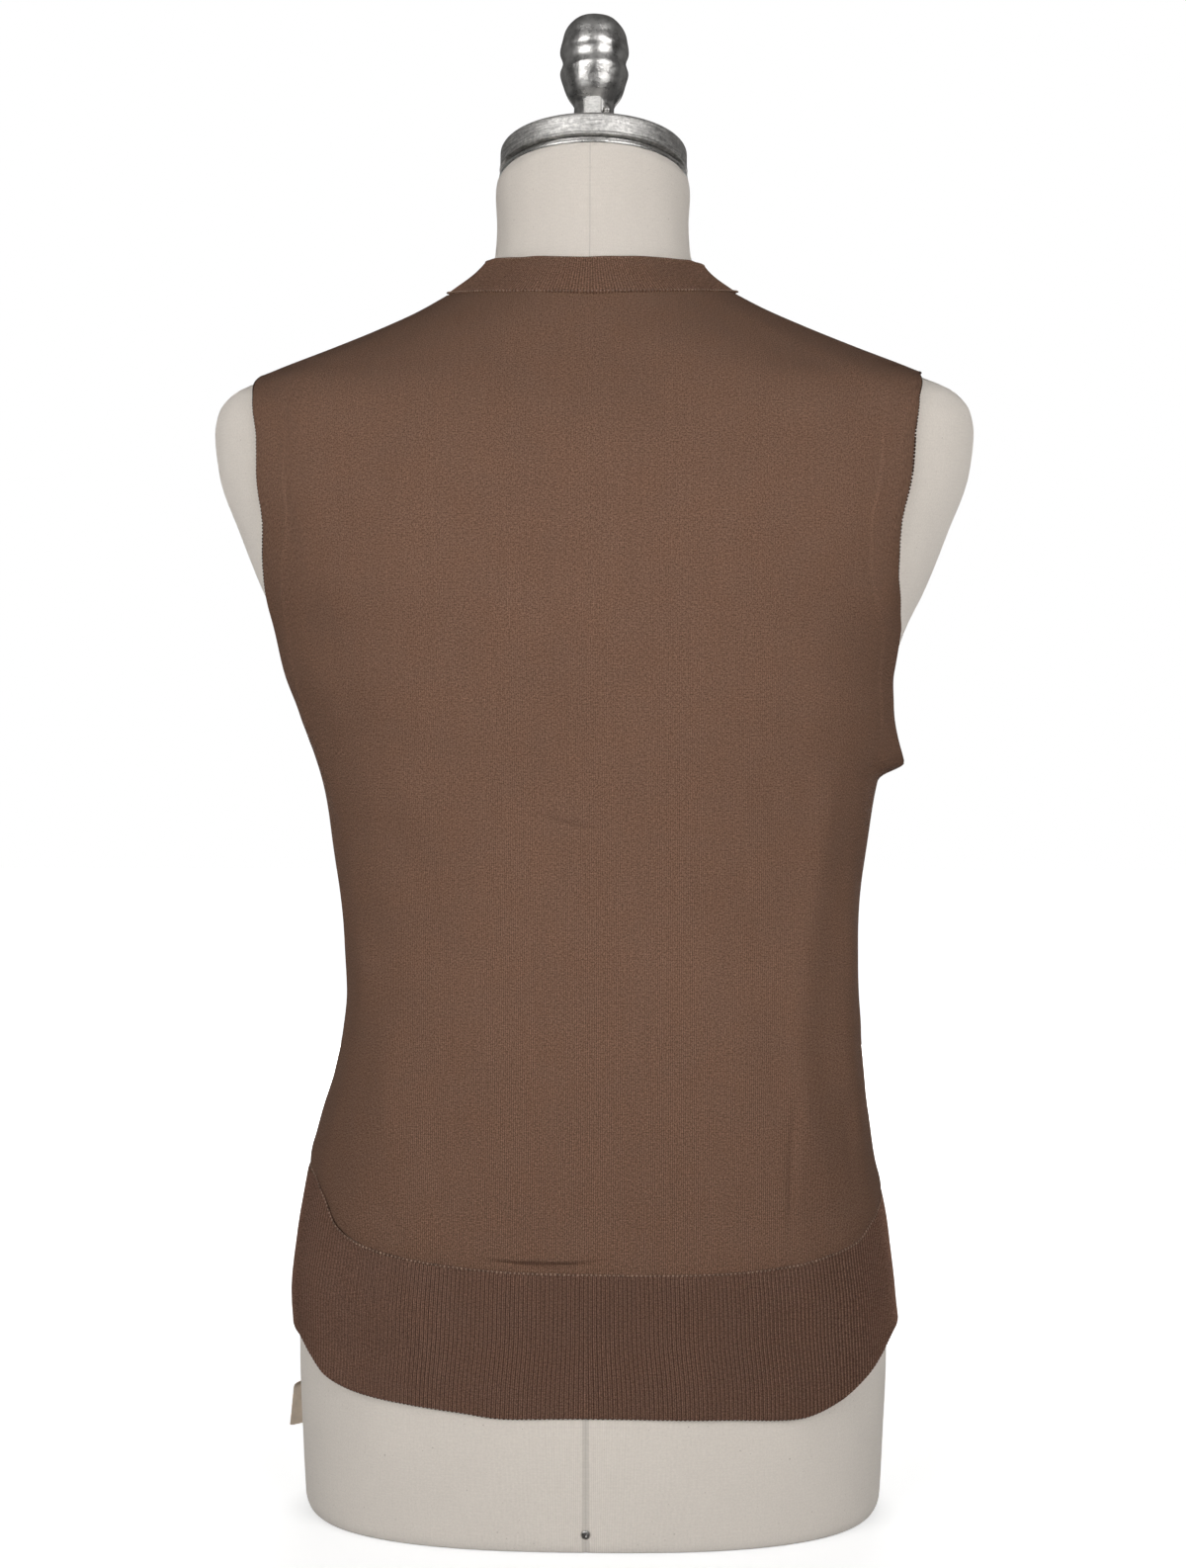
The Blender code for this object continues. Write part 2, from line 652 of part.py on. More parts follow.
def make_screw(polished):
    """The round-headed screw low on the back of the form."""
    dome = [(0.0, 0.0), (SCREW_RADIUS, 0.0)]
    steps = 4
    for k in range(1, steps):
        turn = math.pi / 2 * k / steps
        dome.append((SCREW_RADIUS * math.cos(turn), SCREW_DOME * math.sin(turn)))
    dome.append((0.0, SCREW_DOME))
    screw = turned("form_screw", dome, 12, polished, 60.0)
    normal = outward(90.0, SCREW_HEIGHT)
    turn = normal.to_track_quat("Z", "Y").to_matrix().to_4x4()
    seat = body(90.0, SCREW_HEIGHT) + normal * SEAM_GAP
    screw.matrix_world = Matrix.Translation(seat) @ turn


# ---------------------------------------------------------------- the cloth pieces
def body_rows(top_rows):
    """The heights, as shares above the joining row, of a panel's rows."""
    rows = [LINK_BASE]
    while rows[-1] + 1.5 * BODY_STEP < UNDERARM:
        rows.append(rows[-1] + BODY_STEP)
    rows.append(UNDERARM)
    return rows + list(top_rows)


def panel_height(row, angle, top):
    """A row's height at an angle: the lowest rows bend to the joining row, which rises at the
    sides, and the top rows bend to the neckline."""
    settle = 1.0 - smoothstep(LINK_BASE, UNDERARM, row)
    height = row + (link_height(angle) + SEAM_GAP - LINK_BASE) * settle
    if top is None:
        return height
    rise = smoothstep(SHOULDER_POINT, NECK_SEAM_BACK, row)
    return height + (top(angle) - SEAM_GAP - NECK_SEAM_BACK) * rise


def armhole_angle(height, column):
    """The edge's angle from the side: the side seam, the armhole or the shoulder seam."""
    if height <= UNDERARM:
        return 0.0
    if height >= SHOULDER_POINT:
        return SHOULDER_SEAM
    return at_height(ARMHOLE, column, height)


def half_gap(angle, height):
    """Half of a seam's gap, as an angle."""
    return abs(seam_step(angle, height, SEAM_GAP / 2))


def make_back(jersey):
    """The back, from the rib to the neckline, between the side seams, armholes and shoulders."""
    grid = []
    for row in body_rows(SHOULDER_ROWS + (NECK_SEAM_BACK,)):
        start = armhole_angle(row, "back_left")
        end = on_side(-1, armhole_angle(row, "back_right"))
        start += half_gap(start, row)
        end -= half_gap(end, row)
        places = []
        for c in range(BACK_COLUMNS + 1):
            angle = start + (end - start) * c / BACK_COLUMNS
            places.append((angle, panel_height(row, angle, neck_seam_height)))
        grid.append(places)
    return wall("back", grid, 0.0, JERSEY, jersey)


def band_lift(height, side):
    """The left front lies over the right where the bands overlap."""
    if side < 0:
        return 0.0
    return OVERLAP_LIFT * (1.0 - smoothstep(OVERLAP_TOP, OVERLAP_TOP + OVERLAP_FADE, height))


def front_lift(side):
    """Raises the left front towards its band, which lies over the other one."""

    def lift(angle, height):
        edge = band_edge_angle(height, side)
        near = 1.0 - smoothstep(0.0, LIFT_REACH, abs(angle - edge))
        return LIFT_SHARE * band_lift(height, side) * near

    return lift


def make_front(name, side, jersey):
    """A front, from the rib to the shoulder seam, between the side and the front band."""
    grid = []
    for row in body_rows(SHOULDER_ROWS + FRONT_TOP_ROWS):
        start = armhole_angle(row, "front")
        start -= half_gap(start, row)
        edge = on_side(side, band_edge_angle(row, side))
        edge += abs(seam_step(edge, row, SEAM_GAP))
        places = []
        for c in range(FRONT_COLUMNS + 1):
            angle = on_side(side, start + (edge - start) * c / FRONT_COLUMNS)
            places.append((angle, panel_height(row, angle, None)))
        grid.append(places)
    return wall(name, grid, front_lift(side), JERSEY, jersey)


def make_rib(name, start, end_at, columns, lift, rib):
    """A length of hem rib from an angle to the angle that `end_at` gives for a height."""
    nominal = end_at(HEM_BACK)
    grid = []
    for r in range(RIB_ROWS + 1):
        places = []
        for c in range(columns + 1):
            angle = start + (nominal - start) * c / columns
            low, high = hem_height(angle), link_height(angle) - SEAM_GAP
            height = low + (high - low) * r / RIB_ROWS
            places.append((start + (end_at(height) - start) * c / columns, height))
        grid.append(places)
    return wall(name, grid, lift, RIB, rib)


def make_ribs(rib):
    """The three rib lengths: the back, from side seam to side seam, and the two fronts."""
    gap = half_gap(0.0, hem_height(0.0))
    make_rib("hem_rib_back", gap, lambda height: 180.0 - gap, BACK_COLUMNS, 0.0, rib)

    def make_front_rib(name, side):
        def end_at(height):
            edge = on_side(side, band_edge_angle(height, side))
            return on_side(side, edge + abs(seam_step(edge, height, SEAM_GAP)))

        make_rib(name, on_side(side, -gap), end_at, FRONT_COLUMNS, front_lift(side), rib)

    make_front_rib("hem_rib_left", 1)
    make_front_rib("hem_rib_right", -1)


def make_front_band(name, side, cloth):
    """A front band, from the hem up the front and round to the shoulder seam."""
    bottom = hem_height(-90.0)
    heights = [bottom + (LINK_BASE - bottom) * k / RIB_ROWS for k in range(RIB_ROWS)]
    heights += body_rows(SHOULDER_ROWS + FRONT_TOP_ROWS)
    shares = [band_share(height, side) for height in heights] + [1.0]
    grid = []
    for share in shares:
        outer, inner = band_row(share, side)
        places = []
        for c in range(BAND_COLUMNS + 1):
            t = c / BAND_COLUMNS
            angle = outer[0] + (inner[0] - outer[0]) * t
            places.append((angle, outer[1] + (inner[1] - outer[1]) * t))
        grid.append(places)
    return wall(name, grid, lambda angle, height: band_lift(height, side), BAND, cloth)


def make_neckband(cloth):
    """The back neckband, between the two shoulder seams."""
    gap = abs(seam_step(SHOULDER_SEAM, NECK_SEAM_SIDE, SEAM_GAP))
    start, end = SHOULDER_SEAM + gap, 180.0 - SHOULDER_SEAM - gap
    grid = []
    for r in range(NECKBAND_ROWS + 1):
        places = []
        for c in range(BACK_COLUMNS + 1):
            angle = start + (end - start) * c / BACK_COLUMNS
            low, high = neck_seam_height(angle), neck_edge_height(angle)
            places.append((angle, low + (high - low) * r / NECKBAND_ROWS))
        grid.append(places)
    return wall("neckband_back", grid, 0.0, BAND, cloth)


def make_buttons(horn):
    """Buttons on the overlap, each lying on the upper band."""
    profile = [  # a rounded underside, a raised rim and a dished face
        (0.0, 0.0),
        (BUTTON_RADIUS * 0.70, 0.0),
        (BUTTON_RADIUS, BUTTON_WALL * 0.45),
        (BUTTON_RADIUS - BUTTON_EDGE, BUTTON_WALL * 0.85),
        (BUTTON_RADIUS - BUTTON_RIM, BUTTON_WALL),
        (BUTTON_RADIUS - 2 * BUTTON_RIM, BUTTON_WALL * 0.72),
        (0.0, BUTTON_WALL * 0.66),
    ]
    for k in range(BUTTON_COUNT):
        height = BUTTON_TOP + (BUTTON_BOTTOM - BUTTON_TOP) * k / (BUTTON_COUNT - 1)
        normal = outward(-90.0, height)
        lift = band_lift(height, 1) + BAND + SEAM_GAP
        button = turned(f"button_{k + 1}", profile, 16, horn, 50.0)
        turn = normal.to_track_quat("Z", "Y").to_matrix().to_4x4()
        button.matrix_world = Matrix.Translation(on_cloth(-90.0, height, lift)) @ turn


def make_label(cotton):
    """A bare woven tab that hangs below the hem from inside the left side seam."""
    inner, outer = [], []
    for r in range(LABEL_ROWS + 1):
        level = LABEL_BOTTOM + (LABEL_TOP - LABEL_BOTTOM) * r / LABEL_ROWS
        laid = smoothstep(LABEL_TURN_LOW, LABEL_TURN_HIGH, level)
        turn = math.radians(LABEL_STANDING + (LABEL_LAID - LABEL_STANDING) * laid)
        along = Vector((math.cos(turn), math.sin(turn), 0.0))
        face = Vector((-math.sin(turn), math.cos(turn), 0.0))
        root = body(LABEL_ANGLE, level) + outward(LABEL_ANGLE, level) * LABEL_CLEAR
        inner_row, outer_row = [], []
        for c in range(LABEL_COLUMNS + 1):
            share = c / LABEL_COLUMNS
            drop = LABEL_SLANT * share * (1.0 - r / LABEL_ROWS)
            place = root + along * LABEL_WIDTH * share - Vector((0.0, 0.0, drop))
            inner_row.append(place)
            outer_row.append(place - face * LABEL_WALL)
        inner.append(inner_row)
        outer.append(outer_row)
    shell("label", inner, outer, cotton)


def main():
    for existing in list(bpy.data.objects):
        bpy.data.objects.remove(existing, do_unlink=True)
    linen = material("linen", (0.62, 0.57, 0.52), 0.85)
    aluminium = material("cast_aluminium", (0.55, 0.54, 0.52), 0.35, 1.0)
    polished = material("polished_metal", (0.30, 0.29, 0.28), 0.12, 1.0)
    jersey = material("brown_knit", (0.165, 0.095, 0.065), 0.90)
    rib = material("brown_rib", (0.110, 0.062, 0.044), 0.92)
    horn = material("horn_button", (0.060, 0.032, 0.020), 0.35)
    cotton = material("label_cotton", (0.36, 0.28, 0.22), 0.85)

    make_torso(linen)
    stand = make_neck_fittings(aluminium, polished)
    make_clamp(stand, polished)
    make_screw(polished)
    make_back(jersey)
    make_front("front_left", 1, jersey)
    make_front("front_right", -1, jersey)
    make_ribs(rib)
    make_neckband(rib)
    make_front_band("front_band_left", 1, rib)
    make_front_band("front_band_right", -1, rib)
    make_buttons(horn)
    make_label(cotton)


main()
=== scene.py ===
"""Looks of the sleeveless cardigan on its limbless dress form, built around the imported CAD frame.

Metres, +Z up, the wearer faces -Y and the wearer's left is +X. Cloth and form share one surface: a
place is an angle (0 the wearer's left, 90 the centre back, 180 the right, -90 the centre front) and
a height, and both may be arrays. The tables of the form and of the garment's lines are the CAD's.
"""
import math
from collections import namedtuple

import bmesh
import bpy
import numpy as np
from mathutils import Matrix, Vector


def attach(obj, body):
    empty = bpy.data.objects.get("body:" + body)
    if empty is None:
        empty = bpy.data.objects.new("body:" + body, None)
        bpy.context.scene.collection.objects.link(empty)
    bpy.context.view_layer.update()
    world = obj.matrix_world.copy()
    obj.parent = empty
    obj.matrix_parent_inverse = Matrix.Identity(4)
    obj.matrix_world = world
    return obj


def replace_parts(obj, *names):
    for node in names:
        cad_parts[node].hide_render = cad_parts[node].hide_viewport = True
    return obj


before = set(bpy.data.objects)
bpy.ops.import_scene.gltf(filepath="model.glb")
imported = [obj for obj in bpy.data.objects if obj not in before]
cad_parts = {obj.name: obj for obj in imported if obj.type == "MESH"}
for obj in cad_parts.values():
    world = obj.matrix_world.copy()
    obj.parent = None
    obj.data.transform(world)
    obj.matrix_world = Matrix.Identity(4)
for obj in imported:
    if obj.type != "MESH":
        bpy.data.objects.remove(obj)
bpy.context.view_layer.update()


def table(columns, rows):
    """The rows, with values that can be read by their column's name."""
    kind = namedtuple("Row", columns)
    return [kind(*row) for row in rows]


# ---------------------------------------------------------------- sizes of the form
FORM_SECTIONS = table("height half_width back front square", [
    (0.000, 0.1738, 0.1205, 0.1000, 2.55), (0.031, 0.1755, 0.1210, 0.1020, 2.48),
    (0.093, 0.1780, 0.1220, 0.1040, 2.40), (0.129, 0.1780, 0.1220, 0.1050, 2.30),
    (0.166, 0.1745, 0.1200, 0.1060, 2.30), (0.190, 0.1705, 0.1160, 0.1060, 2.30),
    (0.214, 0.1655, 0.1120, 0.1055, 2.30), (0.238, 0.1605, 0.1070, 0.1050, 2.30),
    (0.262, 0.1540, 0.1030, 0.1045, 2.30), (0.287, 0.1485, 0.1005, 0.1040, 2.30),
    (0.311, 0.1463, 0.0990, 0.1040, 2.30), (0.341, 0.1473, 0.1000, 0.1055, 2.30),
    (0.371, 0.1503, 0.1030, 0.1080, 2.30), (0.408, 0.1555, 0.1080, 0.1120, 2.30),
    (0.443, 0.1625, 0.1130, 0.1160, 2.28), (0.480, 0.1735, 0.1190, 0.1200, 2.25),
    (0.504, 0.1805, 0.1220, 0.1215, 2.22), (0.528, 0.1880, 0.1245, 0.1220, 2.20),
    (0.552, 0.1995, 0.1260, 0.1210, 2.18), (0.587, 0.2135, 0.1250, 0.1170, 2.15),
    (0.622, 0.2262, 0.1200, 0.1100, 2.12), (0.647, 0.2289, 0.1125, 0.1025, 2.10),
    (0.659, 0.2268, 0.1080, 0.0985, 2.08), (0.670, 0.2185, 0.1025, 0.0940, 2.05),
    (0.682, 0.1915, 0.0962, 0.0890, 2.02), (0.694, 0.1602, 0.0897, 0.0830, 2.00),
    (0.706, 0.1305, 0.0828, 0.0765, 2.00), (0.718, 0.1040, 0.0755, 0.0700, 2.00),
    (0.730, 0.0835, 0.0680, 0.0655, 2.00), (0.742, 0.0675, 0.0605, 0.0630, 2.00),
    (0.753, 0.0590, 0.0545, 0.0635, 2.00), (0.772, 0.0577, 0.0514, 0.0644, 2.00),
    (0.790, 0.0586, 0.0500, 0.0655, 2.00), (0.8035, 0.0566, 0.0485, 0.0660, 2.00),
])
NECK_TOP = 0.8035
NECK_TILT = math.tan(math.radians(13.5))  # the neck is cut sloping down to the front
NECK_TILT_FROM = 0.760
BASE_ROUND = 0.010  # height over which the bottom edge rounds in
BASE_INSET = 0.005

CAP_RADIUS = 0.0566
CAP_HEIGHT = 0.0150
CAP_SHOULDER = 0.0035  # how far the cap's upper edge rounds over
CAP_CROWN = 0.0045
CROWN_FLAT = 0.0165  # radius of the flat that the finial stands on
LIP_HEIGHT = 0.0035
LIP_REACH = 0.0006
LIP_BEAD = 0.0015  # the round of the lip's bright edge
LIP_DROP = 0.0018  # how far that edge reaches down past the neck's cut top
CAP_BEAD = 0.0008  # the round of the raised line at the cap's foot
TUCK_INSET = 0.0002  # how far the linen tucks in under the lip
TUCK_SLOPE = 0.70
TUCK_REACH = 0.0120
FINIAL_TOP = 0.9033
FINIAL_STEM = 0.0122
TIP_FROM, TIP_SLIM = 0.86, 0.22  # the share above which the tip is slimmer, and by how much
# The finial's radius at shares of its height: a stem, two bulges and a blunt tip.
FINIAL_OUTLINE = table("share radius", [
    (0.000, FINIAL_STEM - 0.0004), (0.120, FINIAL_STEM), (0.285, FINIAL_STEM), (0.321, 0.0136),
    (0.369, 0.0161), (0.417, 0.0178), (0.465, 0.0190), (0.513, 0.0202), (0.552, 0.0209),
    (0.590, 0.0201), (0.640, 0.0193), (0.672, 0.0196), (0.732, 0.0211), (0.770, 0.0207),
    (0.803, 0.0201), (0.855, 0.0193), (0.905, 0.0181), (0.949, 0.0165), (0.980, 0.0148),
    (0.997, 0.0112),
])
LUG_SIZE = (0.0100, 0.0076, 0.0215)
LUG_HEIGHT = 0.0112
LUG_EDGE = 0.0009
STUD_RADIUS = 0.0028
STUD_HEIGHT = 0.0175
STUD_PITCH = 0.0015  # of its thread
STUD_PLACE = (-0.0084, 0.0134)  # beside the lug, in the finial's frame
SCREW_HEIGHT = 0.012
SCREW_RADIUS = 0.0026
SCREW_DOME = 0.0014
SCREW_EDGE = 0.0002  # height of its upright edge
SCREW_SLOT = 0.0005  # half the width of its driving slot, and its depth

# ---------------------------------------------------------------- sizes of the garment
SEAM_GAP = 0.0003
JERSEY = 0.0013  # wall of the plain knit panels
RIB = 0.0017  # wall of the hem rib
BAND = 0.0018  # wall of the folded front band and neckband
LABEL_WALL = 0.0010

# The hem's bottom edge and the row that joins the rib to the body, all round the wearer.
HEM_EDGES = table("angle hem link", [
    (-90.0, 0.0790, 0.1610), (-50.0, 0.0860, 0.1700), (-25.0, 0.1050, 0.1980),
    (0.0, 0.1120, 0.2060), (18.0, 0.1085, 0.2030), (27.0, 0.1000, 0.1930), (35.0, 0.0910, 0.1780),
    (45.0, 0.0862, 0.1700), (60.0, 0.0829, 0.1650), (70.0, 0.0810, 0.1628), (79.0, 0.0782, 0.1615),
    (90.0, 0.0790, 0.1610), (112.0, 0.0775, 0.1602), (128.0, 0.0748, 0.1617),
    (140.0, 0.0813, 0.1652), (150.0, 0.0912, 0.1693), (158.0, 0.1002, 0.1770),
    (169.0, 0.1105, 0.1850), (180.0, 0.1130, 0.1880), (205.0, 0.1030, 0.1840),
    (230.0, 0.0860, 0.1690), (270.0, 0.0790, 0.1610),
])
HEM_BACK = 0.0797
LINK_BASE = 0.1600

SHOULDER_SEAM = -12.0  # angle of the shoulder seam, a little in front of the ridge
NECK_SEAM_BACK = 0.7208
NECK_SEAM_SIDE = 0.7312
NECK_EDGE_BACK = 0.7432
NECK_EDGE_SIDE = {1: 0.7508, -1: 0.7468}
UNDERARM = 0.4550
SHOULDER_POINT = 0.6815

# How far the cloth's inner face stands off the form.
GARMENT_EASE = table("height left right back front", [
    (0.045, 0.0020, 0.0050, 0.0022, 0.0040), (0.105, 0.0022, 0.0050, 0.0022, 0.0040),
    (0.129, 0.0038, 0.0032, 0.0020, 0.0036), (0.166, 0.0026, 0.0024, 0.0018, 0.0032),
    (0.214, 0.0025, 0.0034, 0.0022, 0.0036), (0.238, 0.0022, 0.0052, 0.0030, 0.0045),
    (0.262, 0.0018, 0.0094, 0.0038, 0.0056), (0.311, 0.0018, 0.0137, 0.0042, 0.0064),
    (0.371, 0.0018, 0.0109, 0.0038, 0.0052), (0.432, 0.0018, 0.0093, 0.0030, 0.0032),
    (0.480, 0.0026, 0.0066, 0.0024, 0.0022), (0.504, 0.0044, 0.0018, 0.0022, 0.0018),
    (0.540, 0.0030, 0.0015, 0.0020, 0.0018), (0.587, 0.0015, 0.0015, 0.0018, 0.0017),
    (0.647, 0.0015, 0.0015, 0.0016, 0.0016), (0.760, 0.0015, 0.0015, 0.0016, 0.0016),
])

# The armholes' edges, as an angle from the side seam.
ARMHOLE = table("height back_left back_right front", [
    (0.4550, 0.0, 0.0, 0.0), (0.4590, 3.5, 3.5, -7.0), (0.4700, 7.0, 7.0, -14.0),
    (0.5000, 10.5, 12.0, -23.0), (0.5280, 13.2, 17.5, -28.5), (0.5400, 15.8, 23.0, -30.0),
    (0.5620, 22.0, 30.5, -33.0), (0.6000, 30.8, 35.2, -36.0), (0.6400, 33.4, 35.8, -36.0),
    (0.6600, 30.5, 33.5, -33.5), (0.6700, 25.5, 28.5, -29.0), (0.6760, 18.0, 21.5, -23.0),
    (0.6790, 9.5, 13.0, -18.5), (0.6803, 1.0, 3.0, -15.5), (0.6811, -7.0, -6.0, -13.5),
    (0.6815, -12.0, -12.0, -12.0),
])

# The front band's two edges, as a distance from the centre front on the band's own side.
FRONT_BAND = table("height outer inner", [
    (0.080, 0.0125, -0.0125), (0.440, 0.0125, -0.0125), (0.480, 0.0160, -0.0100),
    (0.520, 0.0275, 0.0010), (0.580, 0.0465, 0.0195), (0.640, 0.0640, 0.0365),
    (0.690, 0.0765, 0.0475),
])
BAND_TURN = 0.88  # above this share of its length the band turns over the shoulder to its seam
BAND_TOP_EASE = 1.35  # how its climb slows there, so that its rows stay evenly apart
OVERLAP_LIFT = 0.0021  # the buttonhole band lies over the button band by this much
OVERLAP_TOP = 0.520
OVERLAP_FADE = 0.040
LIFT_REACH = 22.0  # degrees over which the left front comes up to its band
LIFT_SHARE = 0.6

BUTTON_COUNT = 5
BUTTON_TOP = 0.462
BUTTON_BOTTOM = 0.112
BUTTON_RADIUS = 0.0075
BUTTON_WALL = 0.0030
BUTTON_HOLE = 0.00075
BUTTON_HOLE_REACH = 0.0018  # from the button's middle to each hole
BUTTON_DISH = 0.66  # height of the face between the holes, as a share of the wall
BUTTON_THREAD_SIDE, BUTTON_STRAND_SIDE = 0.00127, 0.00022  # two threads, of two strands each
# A button's outline from its underside over the rim: radius, and height as a share of the wall.
BUTTON_OUTLINE = table("radius level", [
    (BUTTON_RADIUS * 0.70, 0.0), (BUTTON_RADIUS * 0.90, 0.16), (BUTTON_RADIUS * 0.985, 0.36),
    (BUTTON_RADIUS, 0.52), (BUTTON_RADIUS - 0.0002, 0.78), (BUTTON_RADIUS - 0.0008, 0.97),
    (BUTTON_RADIUS - 0.0014, 1.0), (BUTTON_RADIUS - 0.0021, 0.93), (BUTTON_RADIUS - 0.0027, 0.76),
    (BUTTON_RADIUS - 0.0036, 0.68),
])

# Soft folds: each is a ridge along a line from (angle, height) to (angle, height).
FOLDS = table("angle_low low angle_high high width rise", [
    (136.0, 0.185, 146.0, 0.470, 6.0, 0.0028), (158.0, 0.175, 162.0, 0.400, 6.0, 0.0022),
    (118.0, 0.200, 126.0, 0.330, 5.0, 0.0012), (50.0, 0.190, 42.0, 0.300, 5.0, 0.0014),
    (24.0, 0.180, 28.0, 0.380, 6.0, 0.0012), (212.0, 0.175, 206.0, 0.420, 7.0, 0.0026),
    (236.0, 0.180, 230.0, 0.340, 6.0, 0.0014), (-34.0, 0.180, -28.0, 0.360, 6.0, 0.0014),
    (-58.0, 0.185, -52.0, 0.300, 6.0, 0.0010),
])

# The right underarm corner stands away from the body.
HORN_ANGLE = 183.0
HORN_WIDTH = 15.0
HORN_RISE = 0.0140
HORN_LOW, HORN_PEAK, HORN_HIGH = 0.4400, 0.4560, 0.4860

# The label's inner edge keeps to one place on the form, and the label turns about it: it lies
# along the form under the hem and stands out sideways below it.
LABEL_ANGLE = -20.0
LABEL_WIDTH = 0.0150
LABEL_TOP, LABEL_BOTTOM = 0.1180, 0.0335
LABEL_SLANT = 0.0030  # how much lower the outer corner hangs
LABEL_CLEAR = 0.0005
LABEL_LAID, LABEL_STANDING = 69.0, 12.0  # degrees from +X
LABEL_TURN_LOW, LABEL_TURN_HIGH = 0.0565, 0.0690
LABEL_SWING = (0.0065, 0.0100)  # how far the hanging end swings out, at its turn and at its end
LABEL_ROWS, LABEL_COLUMNS = 80, 20
LABEL_BOW = 0.0009  # how far the hanging end's middle stands out, at most
LABEL_SELVAGE = 0.00015

# ---------------------------------------------------------------- sizes of the looks
CAMERA_REACH = 1.70
CAMERA_HEIGHT = 0.492
CAMERA_YAW = math.radians(2.0)
CAMERA_DIP = math.radians(1.9)
CAMERA_LENS = 64.3

WALE = 0.00125  # width of one column of plain stitches
WALE_FURROW_SHADE = 0.30  # painted shade in the furrow between two columns: how much darker it is, low on the body
COURSE = 0.00100  # height of one row of stitches
RIB_PITCH = 0.00255  # width of one rib of the hem, a pair of columns
RIB_FURROW_SHADES = (0.16, 0.42)  # painted shade in its furrows: how much darker they are, a rib's and its two columns'
RIB_LEAN = 1.45  # how far its higher column lies beside its middle, in radians; the colour paints that column lighter as painted light
RIB_RELIEF = 0.00042
BAND_PITCH = 0.00130
BAND_RELIEF = 0.00014
EDGE_ROUND = 0.0011  # how far from an edge the wall rounds over
LINK_ROUND = 0.0004  # and where a linking row holds it
TURNED_WIDTH = 0.0230  # the armhole's turned-in edge
TURNED_RISE = 0.0006
SEAM_DIP = 0.0007  # how deep the cloth dips along a seam
SEAM_REACH = 0.0022  # and how far beside it
LINK_DIP = 0.0002
FOLD_SWELL = 0.0022  # how far from a band's folded edge the band is fuller
FULLNESS = 0.0009  # how far the body stands out above the rib
FULLNESS_RISE, FULLNESS_REACH = 0.0085, 0.0075  # where it does so, above the linking row
CLOTH_CLEAR = 0.0004  # the cloth is at least this far from the form
THIN_EDGE = 0.35  # the wall at its very edge, as a share of its thickness
BACK_PANEL_COLUMNS = 240
FRONT_PANEL_COLUMNS = 124
HEM_RIBS_BACK = 196
HEM_RIBS_FRONT = 90
NECKBAND_RIBS = 192
FRONT_BAND_RIBS = 550
HEM_RIB_GRID = (8, 16)  # columns of points in each rib, and rows of points
NECKBAND_GRID = (6, 14)
FRONT_BAND_GRID = (4, 10)
LINEN_THREAD = 0.0011
LINEN_REACH = 0.15  # the radius at which the linen's threads keep their width
LINEN_SEAM = 0.0005  # how deep the linen's seams are
LINEN_PADDING = 0.0002  # how uneven the padding under it is

# Stitches: length, width and height of each, and the step from one to the next.
STITCH_SIDES, STITCH_RINGS = 6, 3
NECK_LINK, NECK_LINK_STEP = (0.0011, 0.0013, 0.0011), 0.0023
BAND_STITCH, BAND_STITCH_STEP = (0.0011, 0.0009, 0.0009), 0.0019
HEM_LINK, HEM_LINK_LEAN = (0.0014, 0.0013, 0.0008), 80.0
HEM_UNDER = (0.0016, 0.0015, 0.0009)
FRONT_LINK, FRONT_LINK_STEP = (0.0014, 0.0008, 0.0006), 0.0023
OVERLOCK, OVERLOCK_STEP = (0.0019, 0.0016, 0.0016), 0.0021
BUTTON_THREAD = (0.0036, 0.0005, 0.0006)
SLIT_STITCH = (0.0013, 0.0005, 0.0006)
SLIT_HALF, SLIT_ROUND = 0.0078, 0.0010  # half a buttonhole's length, and the fan at its ends

# Linear colours of the wool and the linen.
KNIT = (0.213, 0.119, 0.079)
RIB_TONE = (0.150, 0.083, 0.058)
BAND_TONE = (0.205, 0.114, 0.076)
LINEN_LIGHT, LINEN_DARK = (0.93, 0.87, 0.80), (0.77, 0.71, 0.645)
EDGE_TINT = (0.35, 0.35, 0.35, 1.0)  # how dull the metal is seen along its face
LINK_YARN = ((0.40, 0.265, 0.19), (0.27, 0.175, 0.125))  # on a yarn's strands and between them
UNDER_YARN = ((0.185, 0.102, 0.070), (0.125, 0.068, 0.046))
EDGE_YARN = ((0.095, 0.052, 0.037), (0.045, 0.024, 0.017))
BUTTON_YARN = ((0.10, 0.055, 0.040), (0.05, 0.027, 0.019))

WORLD_AROUND = 0.04  # how bright the surroundings are to the object, at its sides
WORLD_BEFORE = 0.05  # and how much brighter before and behind the photographed side
WORLD_BEHIND = 0.22
SOFTBOX_TURN = 36.0
SOFTBOX_REACH = 2.2
SOFTBOX_SIZE = (1.5, 1.3)
SOFTBOX_HEIGHT = 0.71
SOFTBOX_DROP = 0.15  # how much lower it aims than it stands
SOFTBOX_POWER = 29.0
FILL_SIZE = (1.2, 1.5)
FILL_HEIGHT = 0.55
FILL_POWER = 46.0
GLOSS_SIZE = (1.4, 1.6)  # what the metal reflects beside the camera
GLOSS_HEIGHT = 1.85
GLOSS_POWER = 30.0
FRONT_GLOSS_SIZE = (1.2, 0.9)
FRONT_GLOSS_SPOT = (0.0, -1.0, 0.40)  # low, as the metal leans down in front
FRONT_GLOSS_POWER = 7.5
TOP_CARD_SPOT, TOP_CARD_AIM = (0.0, 0.6, 2.6), (0.0, 0.0, 0.9)
TOP_CARD_SIZE, TOP_CARD_POWER = (2.4, 1.8), 2.4
CARD_SPOT, CARD_AIM = (2.2, -0.7, 1.0), (0.0, 0.0, 0.8)  # the left card, and the right mirrors it
CARD_SIZE, CARD_POWER = (1.2, 2.0), 0.6
FLOOR_HALF, FLOOR_STEPS = 6.0, 8
